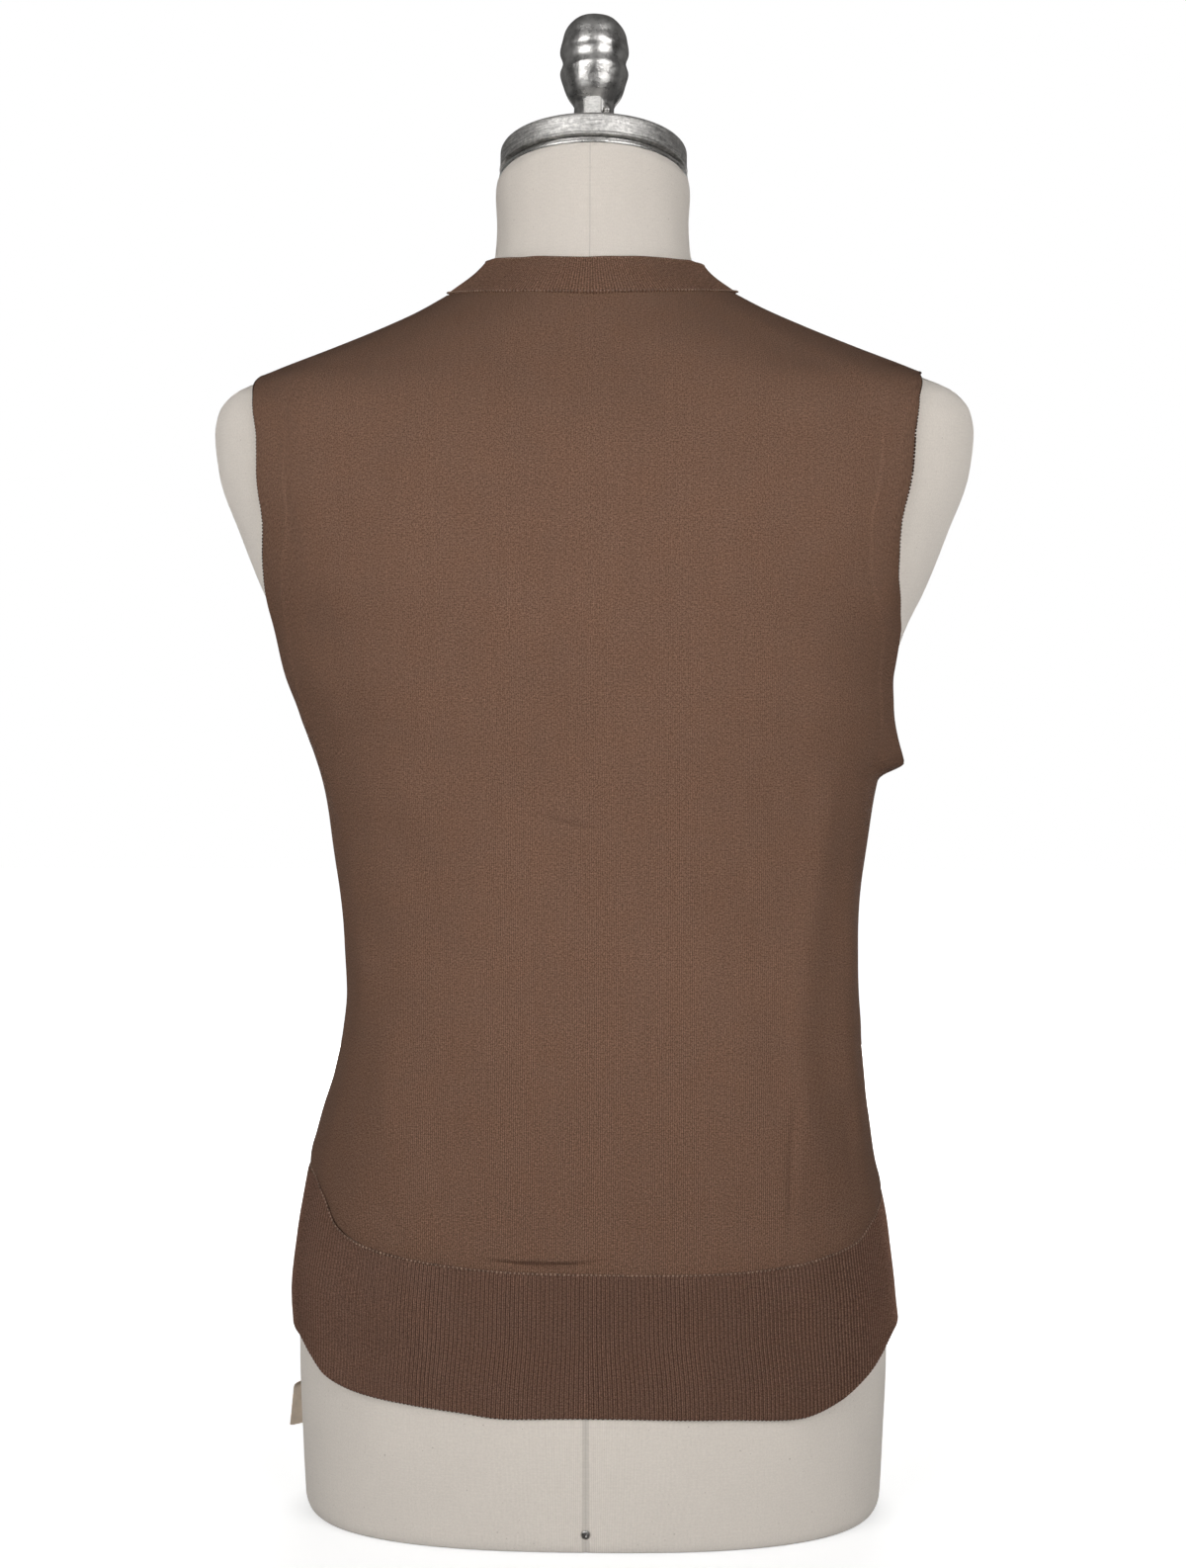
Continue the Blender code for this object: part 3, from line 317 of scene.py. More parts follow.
FLOOR_LEVEL = -0.0002
FLOOR_GLOW = 0.60  # what the camera sees of the floor over its own lit white
FLOOR_AWAY = 1.0  # and away from the form
FLOOR_NEAR, FLOOR_FAR = 0.17, 1.6

# How each piece of cloth was cut before it was sewn and put on the form.
CUTS = table("width length area held rests_on", [
    (0.500, 0.560, 0.215, "draped", ("linen_torso",)),
    (0.250, 0.560, 0.100, "draped", ("linen_torso",)),
    (0.250, 0.560, 0.100, "draped", ("linen_torso",)),
    (0.500, 0.082, None, "stretched", ("linen_torso",)),
    (0.230, 0.082, None, "stretched", ("linen_torso",)),
    (0.230, 0.082, None, "stretched", ("linen_torso",)),
    (0.250, 0.023, None, "draped", ("linen_torso",)),
    (0.720, 0.026, None, "draped", ("linen_torso",)),
    (0.720, 0.026, None, "draped", ("linen_torso",)),
    (0.0165, 0.078, None, "hung", ("knit_hem_rib_left",)),
])

# Short creases, as lines from (x, z) to (x, z) seen square on: side 1 is the back, -1 the front.
CREASES = table("side x_start z_start x_end z_end width rise", [
    (1, 0.0290, 0.4225, -0.0085, 0.4125, 0.0018, -0.0014),
    (1, 0.0270, 0.4270, -0.0060, 0.4175, 0.0034, 0.0005),
    (1, 0.0590, 0.1676, -0.0040, 0.1664, 0.0012, -0.0021),
    (1, 0.0540, 0.1703, -0.0010, 0.1692, 0.0013, 0.0015),
    (1, 0.0240, 0.1668, -0.0160, 0.1690, 0.0015, -0.0009),
    (1, 0.0930, 0.2450, 0.0800, 0.1920, 0.0034, -0.0006),
    (1, 0.1205, 0.1980, 0.1000, 0.1720, 0.0034, -0.0007),
    (1, -0.0735, 0.2240, -0.0600, 0.1990, 0.0030, -0.0006),
    (1, -0.1168, 0.2600, -0.1160, 0.1680, 0.0020, -0.0016),
    (1, -0.1215, 0.2500, -0.1205, 0.1720, 0.0036, 0.0006),
    (1, -0.1460, 0.2600, -0.1535, 0.1940, 0.0030, -0.0009),
    (1, 0.0560, 0.3450, 0.0300, 0.3330, 0.0040, -0.0005),
    (1, 0.0150, 0.3280, -0.0150, 0.3350, 0.0045, -0.0005),
    (-1, 0.0300, 0.2520, 0.0560, 0.2440, 0.0030, -0.0008),
    (-1, -0.0310, 0.3320, -0.0620, 0.3200, 0.0034, -0.0008),
    (-1, 0.0320, 0.4180, 0.0640, 0.4050, 0.0034, -0.0007),
    (-1, -0.0260, 0.1930, -0.0560, 0.1840, 0.0026, -0.0008),
    (-1, 0.1020, 0.2300, 0.0950, 0.1790, 0.0030, -0.0008),
    (-1, -0.1100, 0.2400, -0.1000, 0.1850, 0.0032, -0.0007),
    (-1, 0.1450, 0.4700, 0.1150, 0.5000, 0.0050, -0.0010),
    (-1, -0.1480, 0.4680, -0.1160, 0.5050, 0.0052, -0.0011),
])

# Broad unevenness of worn knit: waves of (across cycles, up cycles per metre, phase, height).
WAVES = table("around up phase rise", [
    (5.0, 6.0, 0.3, 0.00035), (9.0, 3.0, 1.9, 0.00030), (13.0, 11.0, 4.1, 0.00018),
    (4.0, 17.0, 2.6, 0.00022), (21.0, 5.0, 5.2, 0.00012),
])


# ---------------------------------------------------------------- tables and the body surface
def smooth_between(t, step, start, end, start_rate, end_rate):
    """A value between two that are `step` apart, on the curve that has these rates at its ends."""
    return (
        (2 * t**3 - 3 * t**2 + 1) * start
        + (t**3 - 2 * t**2 + t) * step * start_rate
        + (3 * t**2 - 2 * t**3) * end
        + (t**3 - t**2) * step * end_rate
    )


def at_height(rows, column, height):
    """The named column on a smooth curve through a table's rows, read at first-column values."""
    keys = np.array([row[0] for row in rows])
    values = np.array([getattr(row, column) for row in rows])
    height = np.clip(height, keys[0], keys[-1])
    k = np.clip(np.searchsorted(keys, height) - 1, 0, len(keys) - 2)
    steps = np.diff(keys)
    rates = np.diff(values) / steps
    slopes = np.concatenate([rates[:1], np.zeros(len(keys) - 2), rates[-1:]])
    product, total = rates[:-1] * rates[1:], rates[:-1] + rates[1:]
    same_way = product > 0
    slopes[1:-1][same_way] = 2 * product[same_way] / total[same_way]
    t = (height - keys[k]) / steps[k]
    return smooth_between(t, steps[k], values[k], values[k + 1], slopes[k], slopes[k + 1])


def smoothstep(low, high, value):
    """0 below `low`, 1 above `high` and a smooth rise between them."""
    t = np.clip((value - low) / (high - low), 0.0, 1.0)
    return t * t * (3 - 2 * t)


def turn_of(angle, reference):
    """The difference of two angles, between -180 and 180 degrees."""
    return (angle - reference + 180.0) % 360.0 - 180.0


def unit(vectors):
    """The vectors at a length of 1."""
    return vectors / np.linalg.norm(vectors, axis=-1, keepdims=True)


def run_along(points):
    """How far each point of a line lies along it."""
    return np.concatenate([[0.0], np.cumsum(np.linalg.norm(np.diff(points, axis=0), axis=-1))])


def body(angle, height):
    """Points of the form's surface."""
    turn = np.radians(angle)
    power = 2 / at_height(FORM_SECTIONS, "square", height)
    across, along = np.cos(turn), np.sin(turn)
    back = at_height(FORM_SECTIONS, "back", height)
    front = at_height(FORM_SECTIONS, "front", height)
    wide = at_height(FORM_SECTIONS, "half_width", height)
    x = np.sign(across) * np.abs(across) ** power * wide
    y = np.sign(along) * np.abs(along) ** power * np.where(along > 0, back, front)
    z = height + y * NECK_TILT * smoothstep(NECK_TILT_FROM, NECK_TOP, height)
    return np.stack(np.broadcast_arrays(x, y, z), axis=-1)


def outward(angle, height):
    """The form's outward normals."""
    turn, rise = 1.5, 0.002
    around = body(angle + turn, height) - body(angle - turn, height)
    upward = body(angle, height + rise) - body(angle, height - rise)
    return unit(np.cross(around, upward))


def on_side(side, angle):
    """The full angle of one that is measured from the left (1) or right (-1) side."""
    return angle if side > 0 else 180.0 - angle


def fold_rise(angle, height):
    """How far the long soft folds lift the cloth."""
    rise = np.zeros(np.broadcast(angle, height).shape)
    for fold in FOLDS:
        along = (height - fold.low) / (fold.high - fold.low)
        taper = np.sin(math.pi * np.clip(along, 0.0, 1.0)) ** 0.8
        centre = fold.angle_low + (fold.angle_high - fold.angle_low) * along
        away = turn_of(angle, centre) / fold.width
        rise = rise + fold.rise * taper * np.exp(-away * away)
    return rise


def horn_rise(angle, height):
    """How far the right underarm corner stands away."""
    away = turn_of(angle, HORN_ANGLE) / HORN_WIDTH
    rising = smoothstep(HORN_LOW, HORN_PEAK, height)
    falling = 1 - smoothstep(HORN_PEAK, HORN_HIGH, height)
    return HORN_RISE * np.minimum(rising, falling) * np.exp(-away * away)


def ease(angle, height):
    """The gap between the form and the cloth's inner face, as in the CAD."""
    turn = np.radians(angle)
    across, along = np.cos(turn), np.sin(turn)
    left, right, back, front = (
        at_height(GARMENT_EASE, side, height) for side in ("left", "right", "back", "front")
    )
    wide, deep = np.where(across > 0, left, right), np.where(along > 0, back, front)
    return wide * across**2 + deep * along**2 + fold_rise(angle, height) + horn_rise(angle, height)


def crease_rise(angle, height):
    """The short creases' troughs and ridges, uneven along their length."""
    places = body(angle, height)
    x, z = places[..., 0], places[..., 2]
    rise = np.zeros(x.shape)
    for crease in CREASES:
        start = np.array([crease.x_start, crease.z_start])
        run = np.array([crease.x_end, crease.z_end]) - start
        length = np.linalg.norm(run)
        run = run / length
        along = ((x - start[0]) * run[0] + (z - start[1]) * run[1]) / length
        bow = 0.0010 * np.sin(math.pi * np.clip(along, 0.0, 1.0))
        away = (z - start[1]) * run[0] - (x - start[0]) * run[1] - bow
        taper = np.sin(math.pi * np.clip(along, 0.0, 1.0)) ** 0.7
        facing = np.sin(np.radians(angle)) * crease.side > 0
        rise += facing * crease.rise * taper * np.exp(-((away / crease.width) ** 2))
    return rise


def wave_rise(angle, height):
    """The broad unevenness of the cloth."""
    rise = 0.0
    for wave in WAVES:
        phase = np.radians(angle) * wave.around + 2 * math.pi * wave.up * height + wave.phase
        rise = rise + wave.rise * np.sin(phase)
    return rise


def on_cloth(angle, height, lift):
    """Points that stand `lift` above the cloth's inner face."""
    lift = np.asarray(lift)[..., None] if np.ndim(lift) else lift
    return body(angle, height) + outward(angle, height) * (ease(angle, height)[..., None] + lift)


# ---------------------------------------------------------------- lines of the garment
def hem_height(angle, line="hem"):
    """The height of the garment's bottom edge, or of another line of the table."""
    return at_height(HEM_EDGES, line, (angle + 90.0) % 360.0 - 90.0)


def link_height(angle):
    """The height of the row that joins the rib to the panels."""
    return hem_height(angle, "link")


def neck_line(angle, back, side):
    """A height that goes from `back` at the centre back to `side` at a shoulder seam."""
    return back + (side - back) * (np.abs(90.0 - angle) / (90.0 - SHOULDER_SEAM)) ** 1.5


def neck_seam_height(angle):
    """The height of the row that joins the neckband to the back."""
    return neck_line(angle, NECK_SEAM_BACK, NECK_SEAM_SIDE)


def neck_edge_height(angle):
    """The height of the neckband's upper, folded edge."""
    on_left = np.cos(np.radians(angle)) >= 0
    side = np.where(on_left, NECK_EDGE_SIDE[1], NECK_EDGE_SIDE[-1])
    return neck_line(angle, NECK_EDGE_BACK, side)


def angle_at(distance, height):
    """The angle on the front half at a distance from the centre front, towards +X."""
    power = at_height(FORM_SECTIONS, "square", height) / 2
    share = distance / at_height(FORM_SECTIONS, "half_width", height)
    return -np.degrees(np.arccos(np.sign(share) * np.minimum(np.abs(share), 1.0) ** power))


def band_row(share, side):
    """The outer and inner edges, as (angle, height), of a front band at shares of its length."""
    below, last = FRONT_BAND[-2:]
    bottom = hem_height(-90.0)
    straight = share <= BAND_TURN
    height = bottom + (last.height - bottom) * np.minimum(share, BAND_TURN) / BAND_TURN
    t = 1.0 - (1.0 - np.clip((share - BAND_TURN) / (1 - BAND_TURN), 0.0, 1.0)) ** BAND_TOP_EASE
    edges = []
    for name, end in (("outer", NECK_SEAM_SIDE), ("inner", NECK_EDGE_SIDE[side])):
        start, rise = getattr(last, name), end - last.height
        rate = (start - getattr(below, name)) / (last.height - below.height)
        top = float(body(np.array(SHOULDER_SEAM), np.array(end))[0])
        distance = smooth_between(t, rise, start, top, rate, 0.0)
        distance = np.where(straight, at_height(FRONT_BAND, name, height), distance)
        level = np.where(straight, height, last.height + rise * t)
        edges.append((on_side(side, angle_at(distance, level)), level))
    return edges


def band_edge_angle(height, side):
    """The angle of a front band's seam at heights."""
    shares = np.linspace(0.0, 1.0, 1501)
    angle, reached = band_row(shares, side)[0]
    return np.interp(height, reached, angle)


def degree_length(angle, height):
    """How far one degree moves a point round the form."""
    return np.linalg.norm(body(angle + 0.5, height) - body(angle - 0.5, height), axis=-1)


def band_lift(height, side):
    """The left front lies over the right where the bands overlap."""
    if side < 0:
        return 0.0 * height
    return OVERLAP_LIFT * (1.0 - smoothstep(OVERLAP_TOP, OVERLAP_TOP + OVERLAP_FADE, height))


def front_lift(angle, height, side):
    """Raises the left front towards its band, which lies over the other one."""
    share = 1.0 - smoothstep(0.0, LIFT_REACH, np.abs(angle - band_edge_angle(height, side)))
    return LIFT_SHARE * band_lift(height, side) * share


def no_lift(angle, height):
    return 0.0


def clear_of_form(relief, angle, height):
    """The relief, held back where it would press the cloth into the form."""
    return np.maximum(relief, CLOTH_CLEAR - ease(angle, height))


# ---------------------------------------------------------------- meshes
def new_object(name, data):
    """An object of the scene with this mesh, light or camera."""
    made = bpy.data.objects.new(name, data)
    bpy.context.scene.collection.objects.link(made)
    return made


def mesh_data(name, points, faces):
    """A mesh from an array of points and its faces."""
    data = bpy.data.meshes.new(name)
    data.from_pydata(points.reshape(-1, 3).tolist(), [], list(map(list, faces)))
    data.update()
    return data


def mesh_piece(name, points, faces, finish, uv=None, sharp=50.0):
    """One piece of the scene, riding on the part. Edges that turn by over `sharp` degrees stay
    sharp."""
    data = mesh_data(name, points, faces)
    if uv is not None:
        layer = data.uv_layers.new(name="knit")
        corners = np.empty(len(data.loops), np.int32)
        data.loops.foreach_get("vertex_index", corners)
        layer.data.foreach_set("uv", uv.reshape(-1, 2)[corners].astype(np.float32).ravel())
    data.shade_smooth()
    if sharp:
        data.set_sharp_from_angle(angle=math.radians(sharp))
    data.materials.append(finish)
    piece = new_object(name, data)
    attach(piece, "root")
    return piece


def grid_faces(rows, columns, offset=0):
    """The four-sided faces of a grid of points."""
    index = np.arange(rows * columns).reshape(rows, columns) + offset
    corners = (index[:-1, :-1], index[:-1, 1:], index[1:, 1:], index[1:, :-1])
    return np.stack(corners, axis=-1).reshape(-1, 4)


def turned_arrays(profile, segments):
    """A solid of revolution about Z, whose (radius, height) outline starts and ends on the axis."""
    turns = 2 * math.pi * np.arange(segments) / segments
    points, rings = [], []
    for radius, height in profile:
        start = len(points)
        if radius == 0.0:
            points.append((0.0, 0.0, height))
            rings.append([start] * segments)
            continue
        points += [(radius * math.cos(t), radius * math.sin(t), height) for t in turns]
        rings.append(list(range(start, start + segments)))
    faces = []
    for low, high in zip(rings, rings[1:]):
        for k in range(segments):
            n = (k + 1) % segments
            faces.append(tuple(dict.fromkeys((low[k], low[n], high[n], high[k]))))
    return np.array(points), faces


def rim_of(index):
    """The indices round a grid's border, in order."""
    return np.concatenate([index[0, :-1], index[:-1, -1], index[-1, :0:-1], index[:0:-1, 0]])


def wall_arrays(inner, outer):
    """The points and faces of a closed wall between two grids of points, with odd numbers of
    rows and columns. The inner face has a quarter of the outer one's faces."""
    rows, columns = outer.shape[:2]
    inside = inner[::2, ::2]
    count = rows * columns
    shown = grid_faces(rows, columns)
    hidden = grid_faces(*inside.shape[:2], offset=count)[:, ::-1]
    outer_rim = rim_of(np.arange(count).reshape(rows, columns))
    inner_index = np.arange(inside.shape[0] * inside.shape[1]).reshape(inside.shape[:2])
    inner_rim = rim_of(inner_index + count)
    onward = np.roll(outer_rim, -2)[::2]
    sides = np.stack(
        [onward, outer_rim[1::2], outer_rim[::2], inner_rim, np.roll(inner_rim, -1)], axis=-1
    )
    points = np.concatenate([outer.reshape(-1, 3), inside.reshape(-1, 3)])
    middle = (rows // 2, columns // 2)
    across = outer[middle[0], middle[1] + 1] - outer[middle]
    up = outer[middle[0] + 1, middle[1]] - outer[middle]
    faces = [shown, hidden, sides]
    if np.dot(np.cross(across, up), outer[middle] - inner[middle]) < 0:
        faces = [part[:, ::-1] for part in faces]
    return points, [face for part in faces for face in part.tolist()]


def wall_piece(name, solid, inner, outer, u, v, finish):
    """A piece of cloth as a closed wall, in place of a solid of the part. (u, v) is where its
    outer points lie when it is laid flat."""
    uv = np.stack(np.broadcast_arrays(u, v), axis=-1)
    layout = np.concatenate([uv.reshape(-1, 2), uv[::2, ::2].reshape(-1, 2)])
    points, faces = wall_arrays(inner, outer)
    piece = mesh_piece(name, points, faces, finish, layout)
    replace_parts(piece, solid)
    return piece


def shares_with_ends(count, length, steps=(0.0004, 0.0011)):
    """Shares from 0 to 1, closer together by both ends, where a wall rounds over."""
    close = [distance / length for distance in steps]
    inner = np.linspace(2.2 * close[-1], 1.0 - 2.2 * close[-1], count - 2 * len(close) - 1)
    far = [1.0 - share for share in reversed(close)]
    return np.concatenate([[0.0], close, inner, far, [1.0]])


def arc_lengths(points, axis):
    """Distances along a grid's rows (axis 1) or columns (axis 0), from its first point."""
    steps = np.linalg.norm(np.diff(points, axis=axis), axis=-1)
    start = np.zeros_like(np.take(steps, [0], axis=axis))
    return np.concatenate([start, np.cumsum(steps, axis=axis)], axis=axis)


def rounded(distance, reach=EDGE_ROUND):
    """How full the wall is at a distance from its edge."""
    away = 1.0 - np.clip(distance / reach, 0.0, 1.0)
    return THIN_EDGE + (1.0 - THIN_EDGE) * np.sqrt(1.0 - away * away)


def by_line(distance, reach):
    """1 on a line and falling away within about `reach` of it."""
    return np.exp(-((distance / reach) ** 2))


# ---------------------------------------------------------------- the knit panels
def panel_rows(top):
    """The rows of a panel: close together by its ends and where the armhole turns over."""
    ends = np.array([0.0, 0.0004, 0.0011])
    return np.concatenate([
        LINK_BASE + ends,
        np.linspace(LINK_BASE + 0.0021, 0.1765, 21),
        np.linspace(0.1784, 0.4040, 114),
        np.linspace(0.4052, 0.4280, 20),
        np.linspace(0.4300, 0.6684, 117),
        np.linspace(0.6691, SHOULDER_POINT - 0.0004, 16),
        np.linspace(SHOULDER_POINT, top - 0.0022, 21),
        top - ends[::-1],
    ])


def panel_height(row, angle, top):
    """A row's height at an angle: the lowest rows bend to the joining row and the top rows to
    the neckline."""
    settle = 1.0 - smoothstep(LINK_BASE, UNDERARM, row)
    height = row + (link_height(angle) + SEAM_GAP - LINK_BASE) * settle
    if top is None:
        return height
    rise = smoothstep(SHOULDER_POINT, NECK_SEAM_BACK, row)
    return height + (top(angle) - SEAM_GAP - NECK_SEAM_BACK) * rise


def armhole_angle(height, column):
    """The edge's angle from the side: the side seam, the armhole or the shoulder seam."""
    edge = at_height(ARMHOLE, column, height)
    edge = np.where(height <= UNDERARM, 0.0, edge)
    return np.where(height >= SHOULDER_POINT, SHOULDER_SEAM, edge)


def panel_relief(angle, height, row, side_distances):
    """What worn knit adds to a panel: unevenness, creases, dips by its seams, the body's slight
    fullness above the rib and the turned edge of the armholes."""
    relief = wave_rise(angle, height) + crease_rise(angle, height)
    above = height - link_height(angle)
    relief = relief + FULLNESS * by_line(above - FULLNESS_RISE, FULLNESS_REACH)
    relief = relief - LINK_DIP * by_line(above, SEAM_REACH)
    seam_side = 1.0 - smoothstep(UNDERARM - 0.004, UNDERARM + 0.004, row)
    by_shoulder = smoothstep(SHOULDER_POINT - 0.002, SHOULDER_POINT + 0.002, row)
    open_edge = smoothstep(0.4620, 0.4760, row) * (1.0 - smoothstep(0.6540, 0.6700, row))
    for distance in side_distances:
        relief = relief - SEAM_DIP * by_line(distance, SEAM_REACH) * (seam_side + by_shoulder)
        turned = 1.0 - smoothstep(TURNED_WIDTH - 0.0012, TURNED_WIDTH + 0.0012, distance)
        ridge = 0.25 * by_line(distance - TURNED_WIDTH + 0.0008, 0.0016)
        relief = relief + TURNED_RISE * (turned + ridge) * open_edge
    return relief


def make_panel(
    name, start, end, rows, columns, top, held, held_shares, lift, finish, u_origin, width
):
    """A plain knit panel between two edges, given as angles for its rows. Its columns at
    `held_shares` stay at the angles in `held`, whatever its edges do."""
    shares = shares_with_ends(columns, width)
    angle = np.stack([
        np.interp(shares, (0.0, *held_shares, 1.0), (first, *held, last))
        for first, last in zip(start, end)
    ])
    row = np.broadcast_to(rows[:, None], angle.shape)
    height = panel_height(row, angle, top)
    degree = degree_length(angle, height)
    from_start = np.abs(angle - start[:, None]) * degree
    from_end = np.abs(angle - end[:, None]) * degree
    if top:
        relief = panel_relief(angle, height, row, (from_start, from_end))
        relief = relief - LINK_DIP * by_line(row - NECK_SEAM_BACK, SEAM_REACH)
    else:
        relief = panel_relief(angle, height, row, (from_start,))
        relief = relief - SEAM_DIP * by_line(from_end, SEAM_REACH)
    relief = clear_of_form(relief, angle, height) + lift(angle, height)
    full = rounded(np.minimum(from_start, from_end))
    full = full * rounded(np.minimum(row - rows[0], rows[-1] - row), LINK_ROUND)
    inner = on_cloth(angle, height, relief)
    outer = on_cloth(angle, height, relief + JERSEY * full)
    u = u_origin(angle, height, arc_lengths(outer, 1))
    v = arc_lengths(outer, 0) + link_height(angle)
    return wall_piece("knit_" + name, name, inner, outer, u, v, finish)


def make_back(finish):
    """The back panel, from side seam to side seam and up to the neckband."""
    rows = panel_rows(NECK_SEAM_BACK)
    start = armhole_angle(rows, "back_left")
    end = 180.0 - armhole_angle(rows, "back_right")
    start = start + 0.5 * SEAM_GAP / degree_length(start, rows)
    end = end - 0.5 * SEAM_GAP / degree_length(end, rows)

    def from_centre(angle, height, u):
        middle = np.array([np.interp(90.0, a, b) for a, b in zip(angle, u)])
        return u - middle[:, None]

    return make_panel(
        "back", start, end, rows, BACK_PANEL_COLUMNS, neck_seam_height, (46.0, 134.0),
        (0.2, 0.8), no_lift, finish, from_centre, 0.44,
    )


def make_front(name, side, finish):
    """A front panel, from its side seam to its band and up to the shoulder seam."""
    rows = panel_rows(NECK_SEAM_SIDE - 0.0016)
    start = armhole_angle(rows, "front")
    start = start - 0.5 * SEAM_GAP / degree_length(start, rows)
    edge = on_side(side, band_edge_angle(rows, side))
    edge = edge + SEAM_GAP / degree_length(edge, rows)

    def from_band(angle, height, u):
        width = at_height(FRONT_BAND, "outer", np.minimum(height[:, -1], FRONT_BAND[-1].height))
        return u - u[:, -1:] - width[:, None]

    return make_panel(
        name, on_side(side, start), on_side(side, edge), rows, FRONT_PANEL_COLUMNS, None,
        (on_side(side, -46.0),), (0.42,),
        lambda angle, height: front_lift(angle, height, side), finish, from_band, 0.20,
    )


# ---------------------------------------------------------------- ribs and bands
def ridge_wave(phase):
    """A fine rib's section: a round ridge and a narrower furrow."""
    return np.cos(2 * math.pi * phase) + 0.18 * np.cos(4 * math.pi * phase)


def paired_wave(phase):
    """The hem rib's section: two columns of stitches, one of them higher."""
    turn = 2 * math.pi * phase
    return 0.75 * np.cos(turn) + 0.55 * np.cos(2.0 * turn + RIB_LEAN)


def even_angles(start, end, shares):
    """The angles that part the hem's length, from one angle to another, in these shares."""
    angle = np.linspace(start, end, 721)
    run = run_along(body(angle, np.full(721, HEM_BACK + 0.04)))
    return np.interp(shares * run[-1], run, angle)


def make_hem_rib(name, start, end_at, ribs, lift, finish):
    """A length of hem rib, with its ribs as real relief."""
    per_rib, levels = HEM_RIB_GRID
    share = np.linspace(0.0, 1.0, ribs * per_rib + 1)
    nominal = end_at(HEM_BACK)
    guide = even_angles(start, nominal, share)
    share = (guide - start) / (nominal - start)
    low, high = hem_height(guide), link_height(guide) - SEAM_GAP
    up = shares_with_ends(levels, 0.08)
    height = low + (high - low) * up[:, None]
    angle = start + (end_at(height) - start) * share
    phase = np.linspace(0.0, ribs, ribs * per_rib + 1)
    cast_on = 0.00030 * np.cos(2 * math.pi * phase) * by_line(height - low, 0.0014)
    degree = degree_length(angle, height)
    by_seam = by_line(np.abs(angle - angle[:, :1]) * degree, SEAM_REACH)
    from_low, from_high = height - low, high - height
    relief = wave_rise(angle, height) - SEAM_DIP * by_seam
    relief = relief - LINK_DIP * by_line(from_high, SEAM_REACH)
    relief = clear_of_form(relief, angle, height) + lift(angle, height)
    full = rounded(from_low) * rounded(from_high, LINK_ROUND)
    ribbing = RIB_RELIEF * paired_wave(phase) * (0.6 + 0.4 * smoothstep(0.0, 0.003, from_high))
    inner = on_cloth(angle, height + cast_on, relief)
    outer = on_cloth(angle, height + cast_on, relief + (RIB + ribbing) * full)
    v = arc_lengths(outer[:, ::per_rib], 0)
    v = np.repeat(v, per_rib, axis=1)[:, : angle.shape[1]]
    return wall_piece(
        "knit_" + name, name, inner, outer, phase * RIB_PITCH, v, finish
    )


def make_hem_ribs(finish):
    """The back's length of hem rib and the two fronts', between the side seams and the bands."""
    gap = 0.5 * SEAM_GAP / float(degree_length(np.array(0.0), np.array(0.11)))

    def back_end(height):
        return 180.0 - gap + 0.0 * np.asarray(height)

    ribs = [make_hem_rib("hem_rib_back", gap, back_end, HEM_RIBS_BACK, no_lift, finish)]
    for name, side in (("hem_rib_left", 1), ("hem_rib_right", -1)):

        def front_end(height, side=side):
            edge = on_side(side, band_edge_angle(np.asarray(height), side))
            return on_side(side, edge + SEAM_GAP / degree_length(edge, height))

        def lift(angle, height, side=side):
            return front_lift(angle, height, side)

        ribs.append(
            make_hem_rib(name, on_side(side, -gap), front_end, HEM_RIBS_FRONT, lift, finish)
        )
    return ribs


def folded_band(name, angle, height, relief, full, phase, finish):
    """A folded band, with its fine ribs running across its width."""
    ribbing = BAND_RELIEF * ridge_wave(phase)
    inner = on_cloth(angle, height, relief)
    outer = on_cloth(angle, height, relief + (BAND + ribbing) * full)
    v = arc_lengths(outer, 0)
    return wall_piece(
        "knit_" + name, name, inner, outer, phase * BAND_PITCH, v, finish
    )


def make_neckband(finish):
    """The folded band along the back of the neck, between the shoulder seams."""
    per_rib, levels = NECKBAND_GRID
    gap = SEAM_GAP / float(degree_length(np.array(SHOULDER_SEAM), np.array(NECK_SEAM_SIDE)))
    start, end = SHOULDER_SEAM + gap, 180.0 - SHOULDER_SEAM - gap
    share = np.linspace(0.0, 1.0, NECKBAND_RIBS * per_rib + 1)
    up = shares_with_ends(levels, 0.022)[:, None]
    angle = start + (end - start) * share + 0.0 * up
    low, high = neck_seam_height(angle), neck_edge_height(angle)
    height = low + (high - low) * up
    from_low, from_high = height - low, high - height
    relief = 0.7 * wave_rise(angle, height) - LINK_DIP * by_line(from_low, SEAM_REACH)
    relief = relief + 0.0005 * by_line(from_high, FOLD_SWELL)
    relief = clear_of_form(relief, angle, height)
    full = rounded(from_low, LINK_ROUND) * rounded(from_high)
    return folded_band(
        "neckband_back", angle, height, relief, full, share * NECKBAND_RIBS, finish
    )


